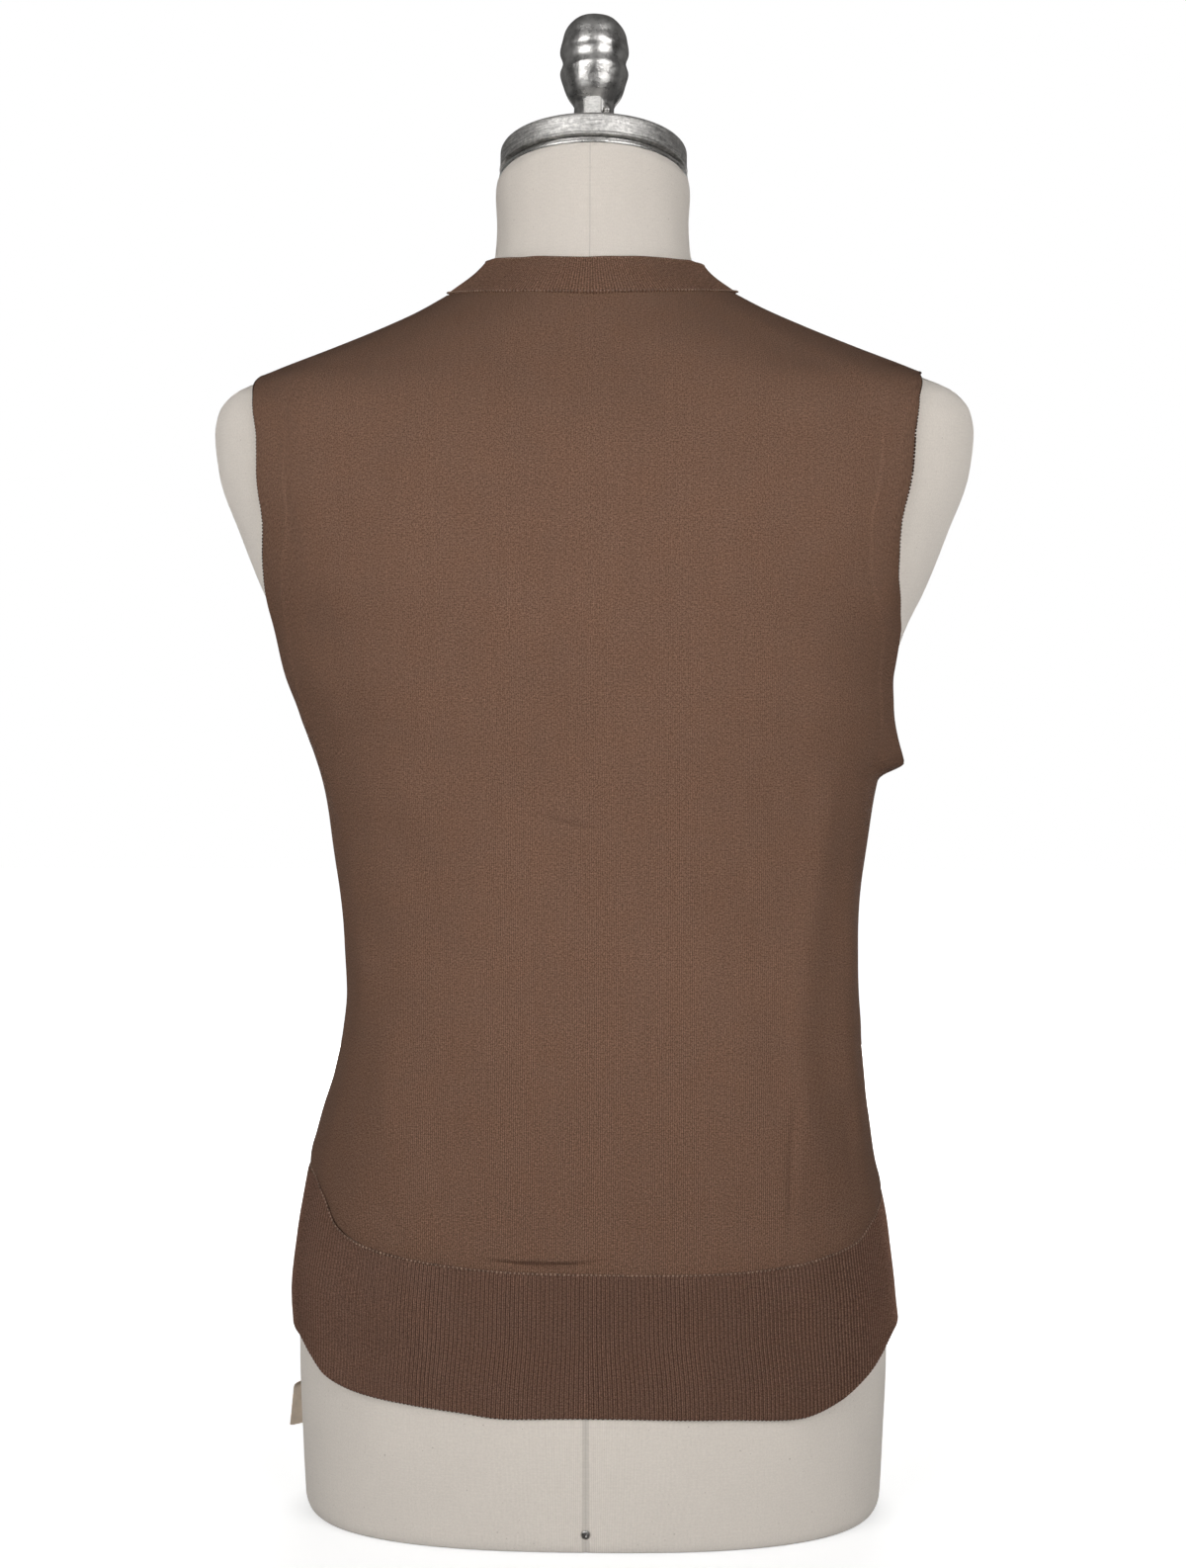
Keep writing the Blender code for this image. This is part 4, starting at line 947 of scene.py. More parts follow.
def make_front_band(name, side, finish):
    """A folded front band from the hem up the front and the V neck to the shoulder seam."""
    per_rib, levels = FRONT_BAND_GRID
    share = np.linspace(0.0, 1.0, FRONT_BAND_RIBS * per_rib + 1)
    (outer_angle, outer_height), (inner_angle, inner_height) = band_row(share, side)
    across = shares_with_ends(levels, 0.025, (0.0004, 0.0012))[:, None]
    angle = outer_angle + (inner_angle - outer_angle) * across
    height = outer_height + (inner_height - outer_height) * across
    width = degree_length(outer_angle, outer_height) * np.abs(inner_angle - outer_angle)
    width = np.maximum(width, np.abs(inner_height - outer_height))
    from_seam, from_fold = across * width, (1.0 - across) * width
    relief = 0.5 * wave_rise(angle, height) - SEAM_DIP * by_line(from_seam, SEAM_REACH)
    relief = relief + 0.0004 * by_line(from_fold, FOLD_SWELL)
    relief = clear_of_form(relief, angle, height) + band_lift(height, side)
    full = rounded(np.minimum(from_seam, from_fold))
    return folded_band(name, angle, height, relief, full, share * FRONT_BAND_RIBS, finish)


# ---------------------------------------------------------------- stitches
def make_stitches(name, centres, along, normals, size, finish, sizes=1.0):
    """Small rounded stitches as one joined mesh. `size` is their length, width and height."""
    tips = math.pi * np.arange(1, STITCH_RINGS + 1) / (STITCH_RINGS + 1)
    outline = [(0.0, -1.0)] + [(math.sin(tip), -math.cos(tip)) for tip in tips] + [(0.0, 1.0)]
    stitch, stitch_faces = turned_arrays(outline, STITCH_SIDES)
    reaches = stitch[:, [2, 0, 1]].T * np.array(size)[:, None] / 2
    along = unit(along)
    beside = np.cross(normals, along)
    stretch = np.broadcast_to(sizes, len(centres))[:, None]
    points = centres[:, None]
    for axis, reach in zip((along * stretch, beside, normals), reaches):
        points = points + axis[:, None] * reach[None, :, None]
    faces = [
        [offset * len(stitch) + corner for corner in face]
        for offset in range(len(centres))
        for face in stitch_faces
    ]
    mesh_piece(name, points, faces, finish, sharp=None)


def spaced(angles, heights, spacing):
    """Places every `spacing` along a line of places."""
    run = run_along(body(angles, heights))
    at = np.arange(spacing / 2, run[-1], spacing)
    return np.interp(at, run, angles), np.interp(at, run, heights)


def stitch_line(name, angles, heights, spacing, lift, size, finish, lean=0.0):
    """A row of stitches along a line of places, which they cross at an angle of `lean` degrees.
    They are uneven in length as real ones are."""
    angle, height = spaced(angles, heights, spacing)
    raised = lift(angle, height) if callable(lift) else lift
    centres = on_cloth(angle, height, raised + 0.0 * angle)
    normals = outward(angle, height)
    along = unit(np.gradient(centres, axis=0))
    lean = math.radians(lean)
    along = along * math.cos(lean) + np.cross(normals, along) * math.sin(lean)
    draws = np.random.default_rng(len(centres))
    sizes = draws.uniform(0.75, 1.2, len(centres))
    centres = centres + along * draws.normal(0.0, 0.00006, (len(centres), 1))
    make_stitches(name, centres, along, normals, size, finish, sizes)


def make_seams(link, under, edge):
    """The light linking rows, the neckband's row of stitches and the armholes' overlocking."""
    back = np.linspace(SHOULDER_SEAM + 1.0, 180.0 - SHOULDER_SEAM - 1.0, 400)
    stitch_line(
        "neck_link", back, neck_seam_height(back), NECK_LINK_STEP, JERSEY + 0.0006, NECK_LINK,
        link,
    )
    stitch_line(
        "neckband_stitches", back, neck_edge_height(back) - 0.0013, BAND_STITCH_STEP,
        BAND + 0.0003, BAND_STITCH, link,
    )
    around = np.linspace(-88.0, 268.0, 1200)
    edge_left, edge_right = (float(band_edge_angle(LINK_BASE, side)) for side in (1, -1))
    around = around[(around > edge_left + 0.2) & (around < edge_right - 0.2)]

    def hem_lift(angle, height):
        left = front_lift(angle, height, 1) * (angle < 20.0)
        return left + JERSEY + 0.0005

    stitch_line(
        "hem_link_under", around, link_height(around), RIB_PITCH / 2,
        lambda a, h: hem_lift(a, h) - 0.0005, HEM_UNDER, under,
    )
    stitch_line(
        "hem_link", around, link_height(around), RIB_PITCH, hem_lift, HEM_LINK, link,
        lean=HEM_LINK_LEAN,
    )
    for name, side in (("front_link_left", 1), ("front_link_right", -1)):
        (angle, height), _ = band_row(np.linspace(0.004, 0.985, 800), side)
        stitch_line(
            name, angle, height, FRONT_LINK_STEP,
            lambda a, h, side=side: 0.8 * band_lift(h, side) + JERSEY + 0.0001,
            FRONT_LINK, link,
        )
    rising = np.linspace(UNDERARM + 0.0006, SHOULDER_POINT, 500)
    for name, side, column in (("left", 1, "back_left"), ("right", -1, "back_right")):
        back_edge = on_side(side, at_height(ARMHOLE, column, rising))
        front_edge = on_side(side, at_height(ARMHOLE, "front", rising))
        angle = np.concatenate([back_edge, front_edge[::-1]])
        height = np.concatenate([rising, rising[::-1]])
        stitch_line(
            f"armhole_{name}_edge", angle, height, OVERLOCK_STEP, JERSEY * 0.45 + 0.0002,
            OVERLOCK, edge,
        )


# ---------------------------------------------------------------- buttons
def button_mesh(finish):
    """A four-hole button about Z: a rounded underside, a raised rim and a dished face."""
    outline = [(place.radius, BUTTON_WALL * place.level) for place in BUTTON_OUTLINE]
    profile = [(0.0, 0.0)] + outline + [(0.0, BUTTON_WALL * BUTTON_DISH)]
    button = new_object("button", mesh_data("button", *turned_arrays(profile, 64)))
    drill = [(0.0, -0.001), (BUTTON_HOLE, -0.001), (BUTTON_HOLE, 0.005), (0.0, 0.005)]
    cutters = []
    for k in range(4):
        turn = math.pi / 4 + math.pi / 2 * k
        cutter = new_object("hole", mesh_data("hole", *turned_arrays(drill, 16)))
        cutter.location = (
            BUTTON_HOLE_REACH * math.cos(turn), BUTTON_HOLE_REACH * math.sin(turn), 0.0
        )
        cut = button.modifiers.new("hole", "BOOLEAN")
        cut.object = cutter
        cut.operation = "DIFFERENCE"
        cutters.append(cutter)
    bpy.context.view_layer.update()
    graph = bpy.context.evaluated_depsgraph_get()
    made = bpy.data.meshes.new_from_object(button.evaluated_get(graph))
    for helper in cutters + [button]:
        bpy.data.objects.remove(helper, do_unlink=True)
    made.shade_smooth()
    made.set_sharp_from_angle(angle=math.radians(40.0))
    made.materials.clear()
    made.materials.append(finish)
    return made


def facing(normal, spot):
    """The matrix that stands something on a surface with its Z along the normal."""
    turn = Vector(normal).to_track_quat("Z", "Y").to_matrix().to_4x4()
    return Matrix.Translation(Vector(spot)) @ turn


def make_buttons(horn, thread):
    """The front's buttons down the band, each with its threads and its buttonhole."""
    mesh = button_mesh(horn)
    for k in range(BUTTON_COUNT):
        height = np.array(BUTTON_TOP + (BUTTON_BOTTOM - BUTTON_TOP) * k / (BUTTON_COUNT - 1))
        angle = np.array(-90.0)
        lift = float(band_lift(height, 1)) + BAND + SEAM_GAP
        place = facing(outward(angle, height), on_cloth(angle, height, lift))
        button = new_object(f"horn_button_{k + 1}", mesh)
        button.matrix_world = place
        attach(button, "root")
        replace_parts(button, f"button_{k + 1}")

        turned = place.to_3x3()
        threads = [
            place @ Vector((0.0, side + strand, BUTTON_WALL * BUTTON_DISH + 0.0002))
            for side in (-BUTTON_THREAD_SIDE, BUTTON_THREAD_SIDE)
            for strand in (-BUTTON_STRAND_SIDE, BUTTON_STRAND_SIDE)
        ]
        across, up = turned @ Vector((1.0, 0.0, 0.0)), turned @ Vector((0.0, 0.0, 1.0))
        make_stitches(
            f"button_thread_{k + 1}", np.array(threads), np.array([across] * len(threads)),
            np.array([up] * len(threads)), BUTTON_THREAD, thread,
        )

        # The buttonhole's stitches fan out at its two ends, which show beside the button.
        ends, out = [], []
        for fan in np.linspace(-math.pi / 2, math.pi / 2, 7):
            for end in (-1, 1):
                x = end * (SLIT_HALF + SLIT_ROUND * math.cos(fan))
                lean = fan if end > 0 else math.pi - fan
                ends.append(place @ Vector((x, SLIT_ROUND * math.sin(fan), -SEAM_GAP - 0.0001)))
                out.append(turned @ Vector((math.cos(lean), math.sin(lean), 0.0)))
        make_stitches(
            f"buttonhole_{k + 1}", np.array(ends), np.array(out), np.array([up] * len(ends)),
            SLIT_STITCH, thread,
        )


# ---------------------------------------------------------------- the label
def make_label(finish):
    """The bare woven tab, with its cut lower end, that hangs from inside the left side seam."""
    up = np.linspace(0.0, 1.0, LABEL_ROWS + 1)[:, None]
    share = np.linspace(0.0, 1.0, LABEL_COLUMNS + 1)[None, :]
    level = LABEL_BOTTOM + (LABEL_TOP - LABEL_BOTTOM) * up + 0.0 * share
    laid = smoothstep(LABEL_TURN_LOW, LABEL_TURN_HIGH, level)
    turn = np.radians(LABEL_STANDING + (LABEL_LAID - LABEL_STANDING) * laid)
    along = np.stack([np.cos(turn), np.sin(turn), 0.0 * turn], axis=-1)
    face = np.stack([-np.sin(turn), np.cos(turn), 0.0 * turn], axis=-1)
    angle = np.array(LABEL_ANGLE)
    root = body(angle, level) + outward(angle, level) * LABEL_CLEAR
    hung = np.clip((LABEL_TURN_LOW - level) / (LABEL_TURN_LOW - LABEL_BOTTOM), 0.0, 1.0)
    root[..., 0] += (LABEL_SWING[0] + (LABEL_SWING[1] - LABEL_SWING[0]) * hung) * (1.0 - laid)
    corner = 0.0006 * np.clip((share - 0.86) / 0.14, 0.0, 1.0) ** 2 * by_line(up, 0.05)
    drop = LABEL_SLANT * share * (1.0 - up) - corner
    outer = root + along * (LABEL_WIDTH * share)[..., None]
    outer[..., 2] -= drop
    bow = LABEL_BOW * np.sin(math.pi * share) * (1.0 - laid) * (0.5 + 0.5 * np.sin(7.0 * up + 0.4))
    outer = outer + face * bow[..., None]
    edge = LABEL_WIDTH * np.minimum(share, 1.0 - share) + 0.0 * up
    selvage = LABEL_SELVAGE * by_line(edge - 0.0008, 0.0005)
    wall = LABEL_WALL * rounded(edge + 0.0005)
    inner = outer - face * wall[..., None]
    outer = outer + face * selvage[..., None]
    return wall_piece(
        "woven_label", "label", inner, outer, LABEL_WIDTH * share, level, finish
    )


# ---------------------------------------------------------------- the dress form
def base_inset(height):
    """How far the bottom edge's rounding pulls the section in."""
    share = 1.0 - np.minimum(height / BASE_ROUND, 1.0)
    return BASE_INSET * (1.0 - np.sqrt(np.maximum(1.0 - share * share, 0.0)))


def from_seams(angle):
    """The angle from the nearer of the form's seams, at the centre back and the centre front."""
    return np.minimum(np.abs(turn_of(angle, 90.0)), np.abs(turn_of(angle, 270.0)))


def make_torso(finish):
    """The linen-covered torso, whose two halves meet in seams at the centre back and front."""
    seams = [90.0 + sign * step for step in (0.4, 1.2, 2.4) for sign in (-1, 1)] + [90.0]
    seams += [angle + 180.0 for angle in seams]
    even = [angle for angle in np.arange(0.0, 360.0, 2.5) if from_seams(angle) > 3.0]
    angle = np.array(sorted(even + seams))
    bottom = BASE_ROUND * (1.0 - np.cos(np.linspace(0.0, math.pi / 2, 7)))
    top = NECK_TOP - LIP_DROP
    height = np.concatenate([
        bottom, np.arange(0.016, 0.622, 0.007), np.arange(0.622, 0.756, 0.0028),
        np.arange(0.756, top - 0.008, 0.004), top - np.array([0.0075, 0.0055, 0.004]),
        top - np.array([0.0028, 0.0018, 0.001, 0.0004, 0.0]),
    ])
    angle_grid = np.broadcast_to(angle, (len(height), len(angle)))
    height_grid = np.broadcast_to(height[:, None], angle_grid.shape)
    places = body(angle_grid, height_grid)
    flat = unit(places * np.array([1.0, 1.0, 0.0]))
    from_seam = from_seams(angle_grid)
    beside = from_seam * degree_length(angle_grid, height_grid)
    inset = base_inset(height_grid) + LINEN_SEAM * by_line(beside, 0.0009)
    padding = LINEN_PADDING * np.sin(9.0 * np.radians(angle_grid) + 21.0 * height_grid)
    padding = padding * np.sin(4.0 * np.radians(angle_grid) + 47.0 * height_grid)
    padding = padding * np.minimum(1.0, height_grid / 0.03)
    places = places - flat * (inset - padding)[..., None]
    middle = np.array(neck_frame().translation)[:2]
    from_middle = places[..., :2] - middle
    radius = np.linalg.norm(from_middle, axis=-1)
    under_lip = CAP_RADIUS - TUCK_INSET + TUCK_SLOPE * (top - height_grid)
    by_lip = height_grid > top - TUCK_REACH
    tucked = np.where(by_lip, np.minimum(radius, under_lip) / radius, 1.0)
    places[..., :2] = middle + from_middle * tucked[..., None]
    rows, columns = angle_grid.shape
    index = np.arange(rows * columns).reshape(rows, columns)
    after = np.roll(index, -1, axis=1)
    sides = np.stack([index[:-1], after[:-1], after[1:], index[1:]], axis=-1).reshape(-1, 4)
    faces = sides.tolist() + [index[0, ::-1].tolist(), index[-1].tolist()]
    uv = np.stack([np.radians(from_seam) * LINEN_REACH, height_grid], axis=-1)
    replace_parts(mesh_piece("linen_torso", places, faces, finish, uv), "form_torso")


def neck_frame():
    """The place and tilt of the neck's cut top."""
    front, back = (body(np.array(angle), np.array(NECK_TOP)) for angle in (-90.0, 90.0))
    centre = Vector((front + back) / 2)
    return Matrix.Translation(centre) @ Matrix.Rotation(math.atan(NECK_TILT), 4, "X")


def put_on_form(piece, place, solid):
    """Stands a piece in its place, instead of a solid of the part."""
    piece.matrix_world = place
    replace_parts(piece, solid)


def higher(place, height):
    """A place on the leaning neck, moved up along its axis."""
    return place @ Matrix.Translation((0.0, 0.0, height))


def turned_piece(name, solid, profile, segments, place, finish, reshape=None):
    """A turned piece on the form, whose points `reshape` may make a little uneven."""
    points, faces = turned_arrays(profile, segments)
    if reshape:
        points = reshape(points)
    put_on_form(mesh_piece(name, points, faces, finish), place, solid)


def arc(centre, radius, start, end, steps):
    """Outline places on an arc, from one angle in degrees to another."""
    turns = np.radians(np.linspace(start, end, steps + 1))
    return [
        (centre[0] + radius * math.cos(turn), centre[1] + radius * math.sin(turn)) for turn in turns
    ]


def make_neck_fittings(aluminium, rim, polished):
    """The lip, the brushed cap and the cast finial with its mould seam."""
    place = neck_frame()
    reach = CAP_RADIUS + LIP_REACH
    lip = [(0.0, -LIP_DROP)] + arc((reach - LIP_BEAD, LIP_BEAD - LIP_DROP), LIP_BEAD, -90, 90, 14)
    lip += [(reach - 0.0030, 2 * LIP_BEAD - LIP_DROP + 0.0002), (reach - 0.0034, LIP_HEIGHT)]
    lip += [(0.0, LIP_HEIGHT)]
    turned_piece(
        "cap_lip", "form_cap_lip", lip, 144, higher(place, SEAM_GAP), rim
    )

    cap_base = SEAM_GAP + LIP_HEIGHT + SEAM_GAP
    wall_low = [(0.0, 0.0), (CAP_RADIUS - 0.0036, 0.0)]
    wall_low += arc((CAP_RADIUS - 0.0004, 0.0012), CAP_BEAD, -120, 60, 12)
    wall_low += [(CAP_RADIUS - 0.0003, 0.0024), (CAP_RADIUS, 0.0032)]
    shoulder = arc(
        (CAP_RADIUS - CAP_SHOULDER, CAP_HEIGHT - CAP_SHOULDER), CAP_SHOULDER, 0, 80, 8
    )
    crown = []
    for share in np.linspace(0.04, 1.0, 12):
        radius = CAP_RADIUS - CAP_SHOULDER + (CROWN_FLAT - CAP_RADIUS + CAP_SHOULDER) * share
        crown.append((radius, CAP_HEIGHT + CAP_CROWN * math.sin(0.5 * math.pi * share) ** 1.4))
    cap = wall_low + shoulder + crown + [(0.0, CAP_HEIGHT + CAP_CROWN)]
    turned_piece(
        "brushed_cap", "form_neck_cap", cap, 144, higher(place, cap_base), aluminium,
    )

    stand = higher(place, cap_base + CAP_HEIGHT + CAP_CROWN + SEAM_GAP)
    tall = (FINIAL_TOP - stand.translation.z) / math.cos(math.atan(NECK_TILT))
    shares = np.concatenate([np.linspace(0.0, 0.94, 66), np.linspace(0.945, 0.996, 10)])
    radii = at_height(FINIAL_OUTLINE, "radius", shares)
    up_tip = np.clip((shares - TIP_FROM) / (1.0 - TIP_FROM), 0.0, 1.0)
    radii = radii * (1.0 - TIP_SLIM * up_tip**2.2)
    outline = [(0.0, 0.0)] + [(float(r), float(s * tall)) for r, s in zip(radii, shares)]
    tip = [(0.0072, 0.9995 * tall), (0.0036, 1.0004 * tall), (0.0, 1.0004 * tall)]

    def cast_shape(points):
        turn = np.degrees(np.arctan2(points[:, 1], points[:, 0]))
        radius = np.hypot(points[:, 0], points[:, 1])
        rise = 0.00005 * by_line(from_seams(turn), 1.9)
        rise += 0.00012 * np.sin(np.radians(turn) * 3 + points[:, 2] * 160.0)
        rise += 0.00010 * np.sin(np.radians(turn) * 5 - points[:, 2] * 310.0 + 1.0)
        grown = 1.0 + np.where(radius > 0.009, rise / np.maximum(radius, 0.001), 0.0)
        points = points.copy()
        points[:, :2] *= grown[:, None]
        return points

    turned_piece(
        "cast_finial", "form_finial", outline + tip, 180, stand, polished,
        cast_shape,
    )
    return stand


def rounded_block(name, solid, size, radius, place, finish):
    """A small cast block with rounded edges and faces a little uneven."""
    made = bmesh.new()
    bmesh.ops.create_cube(made, size=1.0)
    bmesh.ops.scale(made, vec=size, verts=made.verts)
    bmesh.ops.bevel(made, geom=made.edges[:], offset=radius, segments=4, affect="EDGES")
    bmesh.ops.recalc_face_normals(made, faces=made.faces)
    made.verts.index_update()
    points = np.array([vertex.co for vertex in made.verts])
    faces = [[vertex.index for vertex in face.verts] for face in made.faces]
    made.free()
    points += 0.00012 * np.sin(points[:, [1, 2, 0]] * 900.0)
    put_on_form(mesh_piece(name, points, faces, finish), place, solid)


def make_clamp(stand, filed, polished):
    """The clamp's square lug and the threaded stud beside it."""
    reach = FINIAL_STEM + LUG_SIZE[1] / 2 + SEAM_GAP
    place = stand @ Matrix.Translation((0.0, reach, LUG_HEIGHT))
    rounded_block(
        "clamp_lug", "form_finial_lug", LUG_SIZE, LUG_EDGE, place, filed
    )
    thread = [(0.0, 0.0), (STUD_RADIUS - 0.0004, 0.0)]
    for level in np.arange(0.0006, STUD_HEIGHT - 0.0024, STUD_PITCH):
        thread += [(STUD_RADIUS - 0.0005, level), (STUD_RADIUS, level + 0.00060)]
        thread += [(STUD_RADIUS, level + 0.00085)]
    thread += [(STUD_RADIUS - 0.0004, STUD_HEIGHT - 0.0006), (STUD_RADIUS - 0.0010, STUD_HEIGHT)]
    thread += [(0.0, STUD_HEIGHT)]
    turned_piece(
        "clamp_stud", "form_clamp_stud", thread, 40,
        stand @ Matrix.Translation((*STUD_PLACE, 0.0)), polished,
    )


def make_screw(polished):
    """The round-headed screw low on the back, with its driving slot."""
    height = np.array(SCREW_HEIGHT)
    normal = outward(np.array(90.0), height)
    place = facing(normal, body(np.array(90.0), height) + normal * SEAM_GAP)
    dome = [(0.0, 0.0), (SCREW_RADIUS, 0.0)]
    for turn in np.radians(np.linspace(0.0, 90.0, 9))[:-1]:
        level = SCREW_EDGE + (SCREW_DOME - SCREW_EDGE) * math.sin(turn)
        dome.append((SCREW_RADIUS * math.cos(turn), level))
    dome += [(0.0, SCREW_DOME)]

    def slotted(points):
        points = points.copy()
        away = np.abs(points[:, 0] * 0.8 - points[:, 1] * 0.6)
        inside = (away < SCREW_SLOT) & (points[:, 2] > 0.0004)
        points[inside, 2] = np.maximum(points[inside, 2] - SCREW_SLOT, 0.0003)
        return points

    turned_piece(
        "screw_head", "form_screw", dome, 64, place, polished, slotted
    )


# ---------------------------------------------------------------- materials
MIX_COLOURS, MIX_RESULT = (6, 7), 2  # where a Mix node takes and gives colours


class Value:
    """A node's output, with which sums are written as with numbers."""

    def __init__(self, nodes, socket):
        self.nodes, self.socket = nodes, socket

    def __add__(self, other):
        return self.nodes.math("ADD", self, other)

    def __sub__(self, other):
        return self.nodes.math("SUBTRACT", self, other)

    def __rsub__(self, other):
        return self.nodes.math("SUBTRACT", other, self)

    def __mul__(self, other):
        return self.nodes.math("MULTIPLY", self, other)

    def __truediv__(self, other):
        return self.nodes.math("DIVIDE", self, other)


class Nodes:
    """A node tree, built with short calls."""

    def __init__(self, tree):
        self.tree = tree

    def set(self, socket, value):
        """Gives a socket a constant, or links it to an output."""
        value = value.socket if isinstance(value, Value) else value
        if isinstance(value, bpy.types.NodeSocket):
            self.tree.links.new(value, socket)
        else:
            socket.default_value = value

    def node(self, kind, inputs=(), output=0, **settings):
        """An output of a new node, whose inputs are given in order or by their names."""
        made = self.tree.nodes.new("ShaderNode" + kind)
        for name, value in settings.items():
            setattr(made, name, value)
        for key, value in inputs.items() if isinstance(inputs, dict) else enumerate(inputs):
            self.set(made.inputs[key], value)
        return Value(self, made.outputs[output])

    def math(self, operation, first, second=0.0, third=0.0):
        return self.node("Math", (first, second, third), operation=operation)

    def apart(self, place):
        """The three parts of a place."""
        outputs = self.node("SeparateXYZ", (place,)).socket.node.outputs
        return [Value(self, socket) for socket in outputs]


class Look(Nodes):
    """One material's nodes."""

    def __init__(self, name, **constants):
        self.material = bpy.data.materials.new(name)
        self.material.use_nodes = True
        super().__init__(self.material.node_tree)
        self.shader = self.tree.nodes["Principled BSDF"]
        for socket, value in constants.items():
            self.shader.inputs[socket.replace("_", " ")].default_value = value

    def laid_flat(self):
        """The (u, v) of a piece when it is laid flat, as one and apart."""
        place = self.node("UVMap", uv_map="knit")
        return place, self.apart(place)

    def in_space(self):
        """The object's own coordinates, as one and apart."""
        place = self.node("TexCoord", output="Object")
        return place, self.apart(place)

    def noise(self, where, scale=1.0, detail=2.0, roughness=0.5):
        """Noise at a place, or at the place with these two or three parts."""
        if isinstance(where, tuple):
            where = self.node("CombineXYZ", where)
        return self.node(
            "TexNoise", {"Vector": where, "Scale": scale, "Detail": detail, "Roughness": roughness}
        )

    def ranged(self, value, low, high, to_low, to_high):
        return self.node("MapRange", (value, low, high, to_low, to_high), clamp=True)

    def mixed(self, share, first, second, blend="MIX"):
        inputs = {0: share}
        for key, colour in zip(MIX_COLOURS, (first, second)):
            inputs[key] = colour if isinstance(colour, Value) else (*colour, 1.0)
        return self.node("Mix", inputs, MIX_RESULT, data_type="RGBA", blend_type=blend)

    def between(self, value, low, high, first, second):
        """The first colour where a value is `low`, and the second where it is `high`."""
        return self.mixed(self.ranged(value, low, high, 0.0, 1.0), first, second)

    def shaded(self, colour, factor):
        """A colour multiplied by a factor."""
        return self.node("VectorMath", {0: colour, "Scale": factor}, operation="SCALE")

    def toned(self, colour, *steps):
        """A colour multiplied by factors, each of which follows a value as `ranged` says."""
        for step in steps:
            colour = self.shaded(colour, self.ranged(*step))
        return colour

    def bumped(self, height, distance, strength=1.0, under=None):
        inputs = {"Distance": distance, "Strength": strength, "Height": height}
        if under:
            inputs["Normal"] = under
        return self.node("Bump", inputs)

    def done(self, colour, roughness, normal):
        self.set(self.shader.inputs["Base Color"], colour)
        self.set(self.shader.inputs["Roughness"], roughness)
        self.set(self.shader.inputs["Normal"], normal)
        return self.material


def knit_look(name, tone, wale, pitch, relief, grain, low_painted_shade=1.0):
    """Fine wool knit: V stitches in columns, uneven yarn, heather flecks and faint streaks, with
    painted shade in the gaps between loops and in the furrows between columns. A rib has a `pitch`;
    its furrows are painted darker and its higher column lighter, as painted light. `grain` is how
    much single loops differ. Low on the body painted shade lowers the tone to the share given last."""
    look = Look(name, Sheen_Weight=0.01, Sheen_Roughness=0.45, Specular_IOR_Level=0.10)
    place, (u, v, _) = look.laid_flat()
    wander = look.noise((u * 260.0, v * 420.0)) - 0.5
    column = u / wale + wander * 0.12
    away = look.math("ABSOLUTE", look.math("FRACT", column + 0.5) - 0.5)
    leg = (away - 0.25) / 0.28
    leg = look.math("SQRT", look.math("MAXIMUM", 1.0 - leg * leg, 0.0))
    row = v / COURSE + wander * 0.7 - away * 1.5
    stitch = leg * look.ranged(look.math("COSINE", row * (2 * math.pi)), -1.0, 1.0, 0.35, 1.0)

    # Colour: heather flecks, single lighter and darker loops, streaks and broad patches, with
    # painted shade in the gaps between loops and in the furrows.
    flecks = look.noise(place, 760.0, 2.0, 0.7)
    loops = look.noise((u * 1160.0, v * 1090.0), 1.0, 1.0)
    streaks = look.noise((u * 430.0, v * 22.0))
    patches = look.noise(place, 17.0, 3.0, 0.6)
    dark = [(1.0 - 0.54 * grain) * value for value in tone]
    light = [(1.0 + 0.56 * grain) * value + 0.006 for value in tone]
    shade = look.between(loops, 0.33, 0.67, dark, light)
    factor = look.ranged(flecks, 0.30, 0.70, 1.0 - 0.28 * grain, 1.0 + 0.28 * grain)
    # Painted shade: the tone falls towards the bottom of the body.
    factor = factor * look.ranged(v, 0.15, 0.34, low_painted_shade, 1.0)
    for uneven in (streaks, patches):
        factor = factor * look.ranged(uneven, 0.25, 0.75, 0.965, 1.035)
    # Painted shade: darker in the gaps between the stitches' loops and rows.
    factor = factor * look.ranged(stitch, 0.0, 1.0, 0.66, 1.12)
    # Painted shade in a rib's furrows, and painted light on its higher column.
    if pitch:
        turn = u * (2 * math.pi / pitch)
        ridge = look.math("MULTIPLY_ADD", look.math("COSINE", turn), RIB_FURROW_SHADES[0], 1.0)
        turn = look.math("MULTIPLY_ADD", turn, 2.0, RIB_LEAN)
        ridge = look.math("MULTIPLY_ADD", look.math("COSINE", turn), RIB_FURROW_SHADES[1], ridge)
    else:
        # Painted shade in the furrow between two columns, stronger low on the body.
        wave = look.math("COSINE", column * (2 * math.pi))
        wale_shade = look.ranged(v, 0.25, 0.58, WALE_FURROW_SHADE, 0.24 * WALE_FURROW_SHADE)
        ridge = look.math("MULTIPLY_ADD", wave, wale_shade, 1.0)
    shade = look.shaded(shade, factor * ridge)
    warm = look.ranged(look.noise(place, 46.0), 0.35, 0.65, 0.0, 0.5)
    shade = look.mixed(warm, shade, look.mixed(1.0, shade, (1.03, 0.985, 0.94), "MULTIPLY"))

    fuzz = look.noise(place, 2600.0, 2.0, 0.6)
    normal = look.bumped(stitch + fuzz * 0.25 + loops * 0.35, relief)
    return look.done(shade, look.ranged(flecks, 0.2, 0.8, 0.84, 0.95), normal)


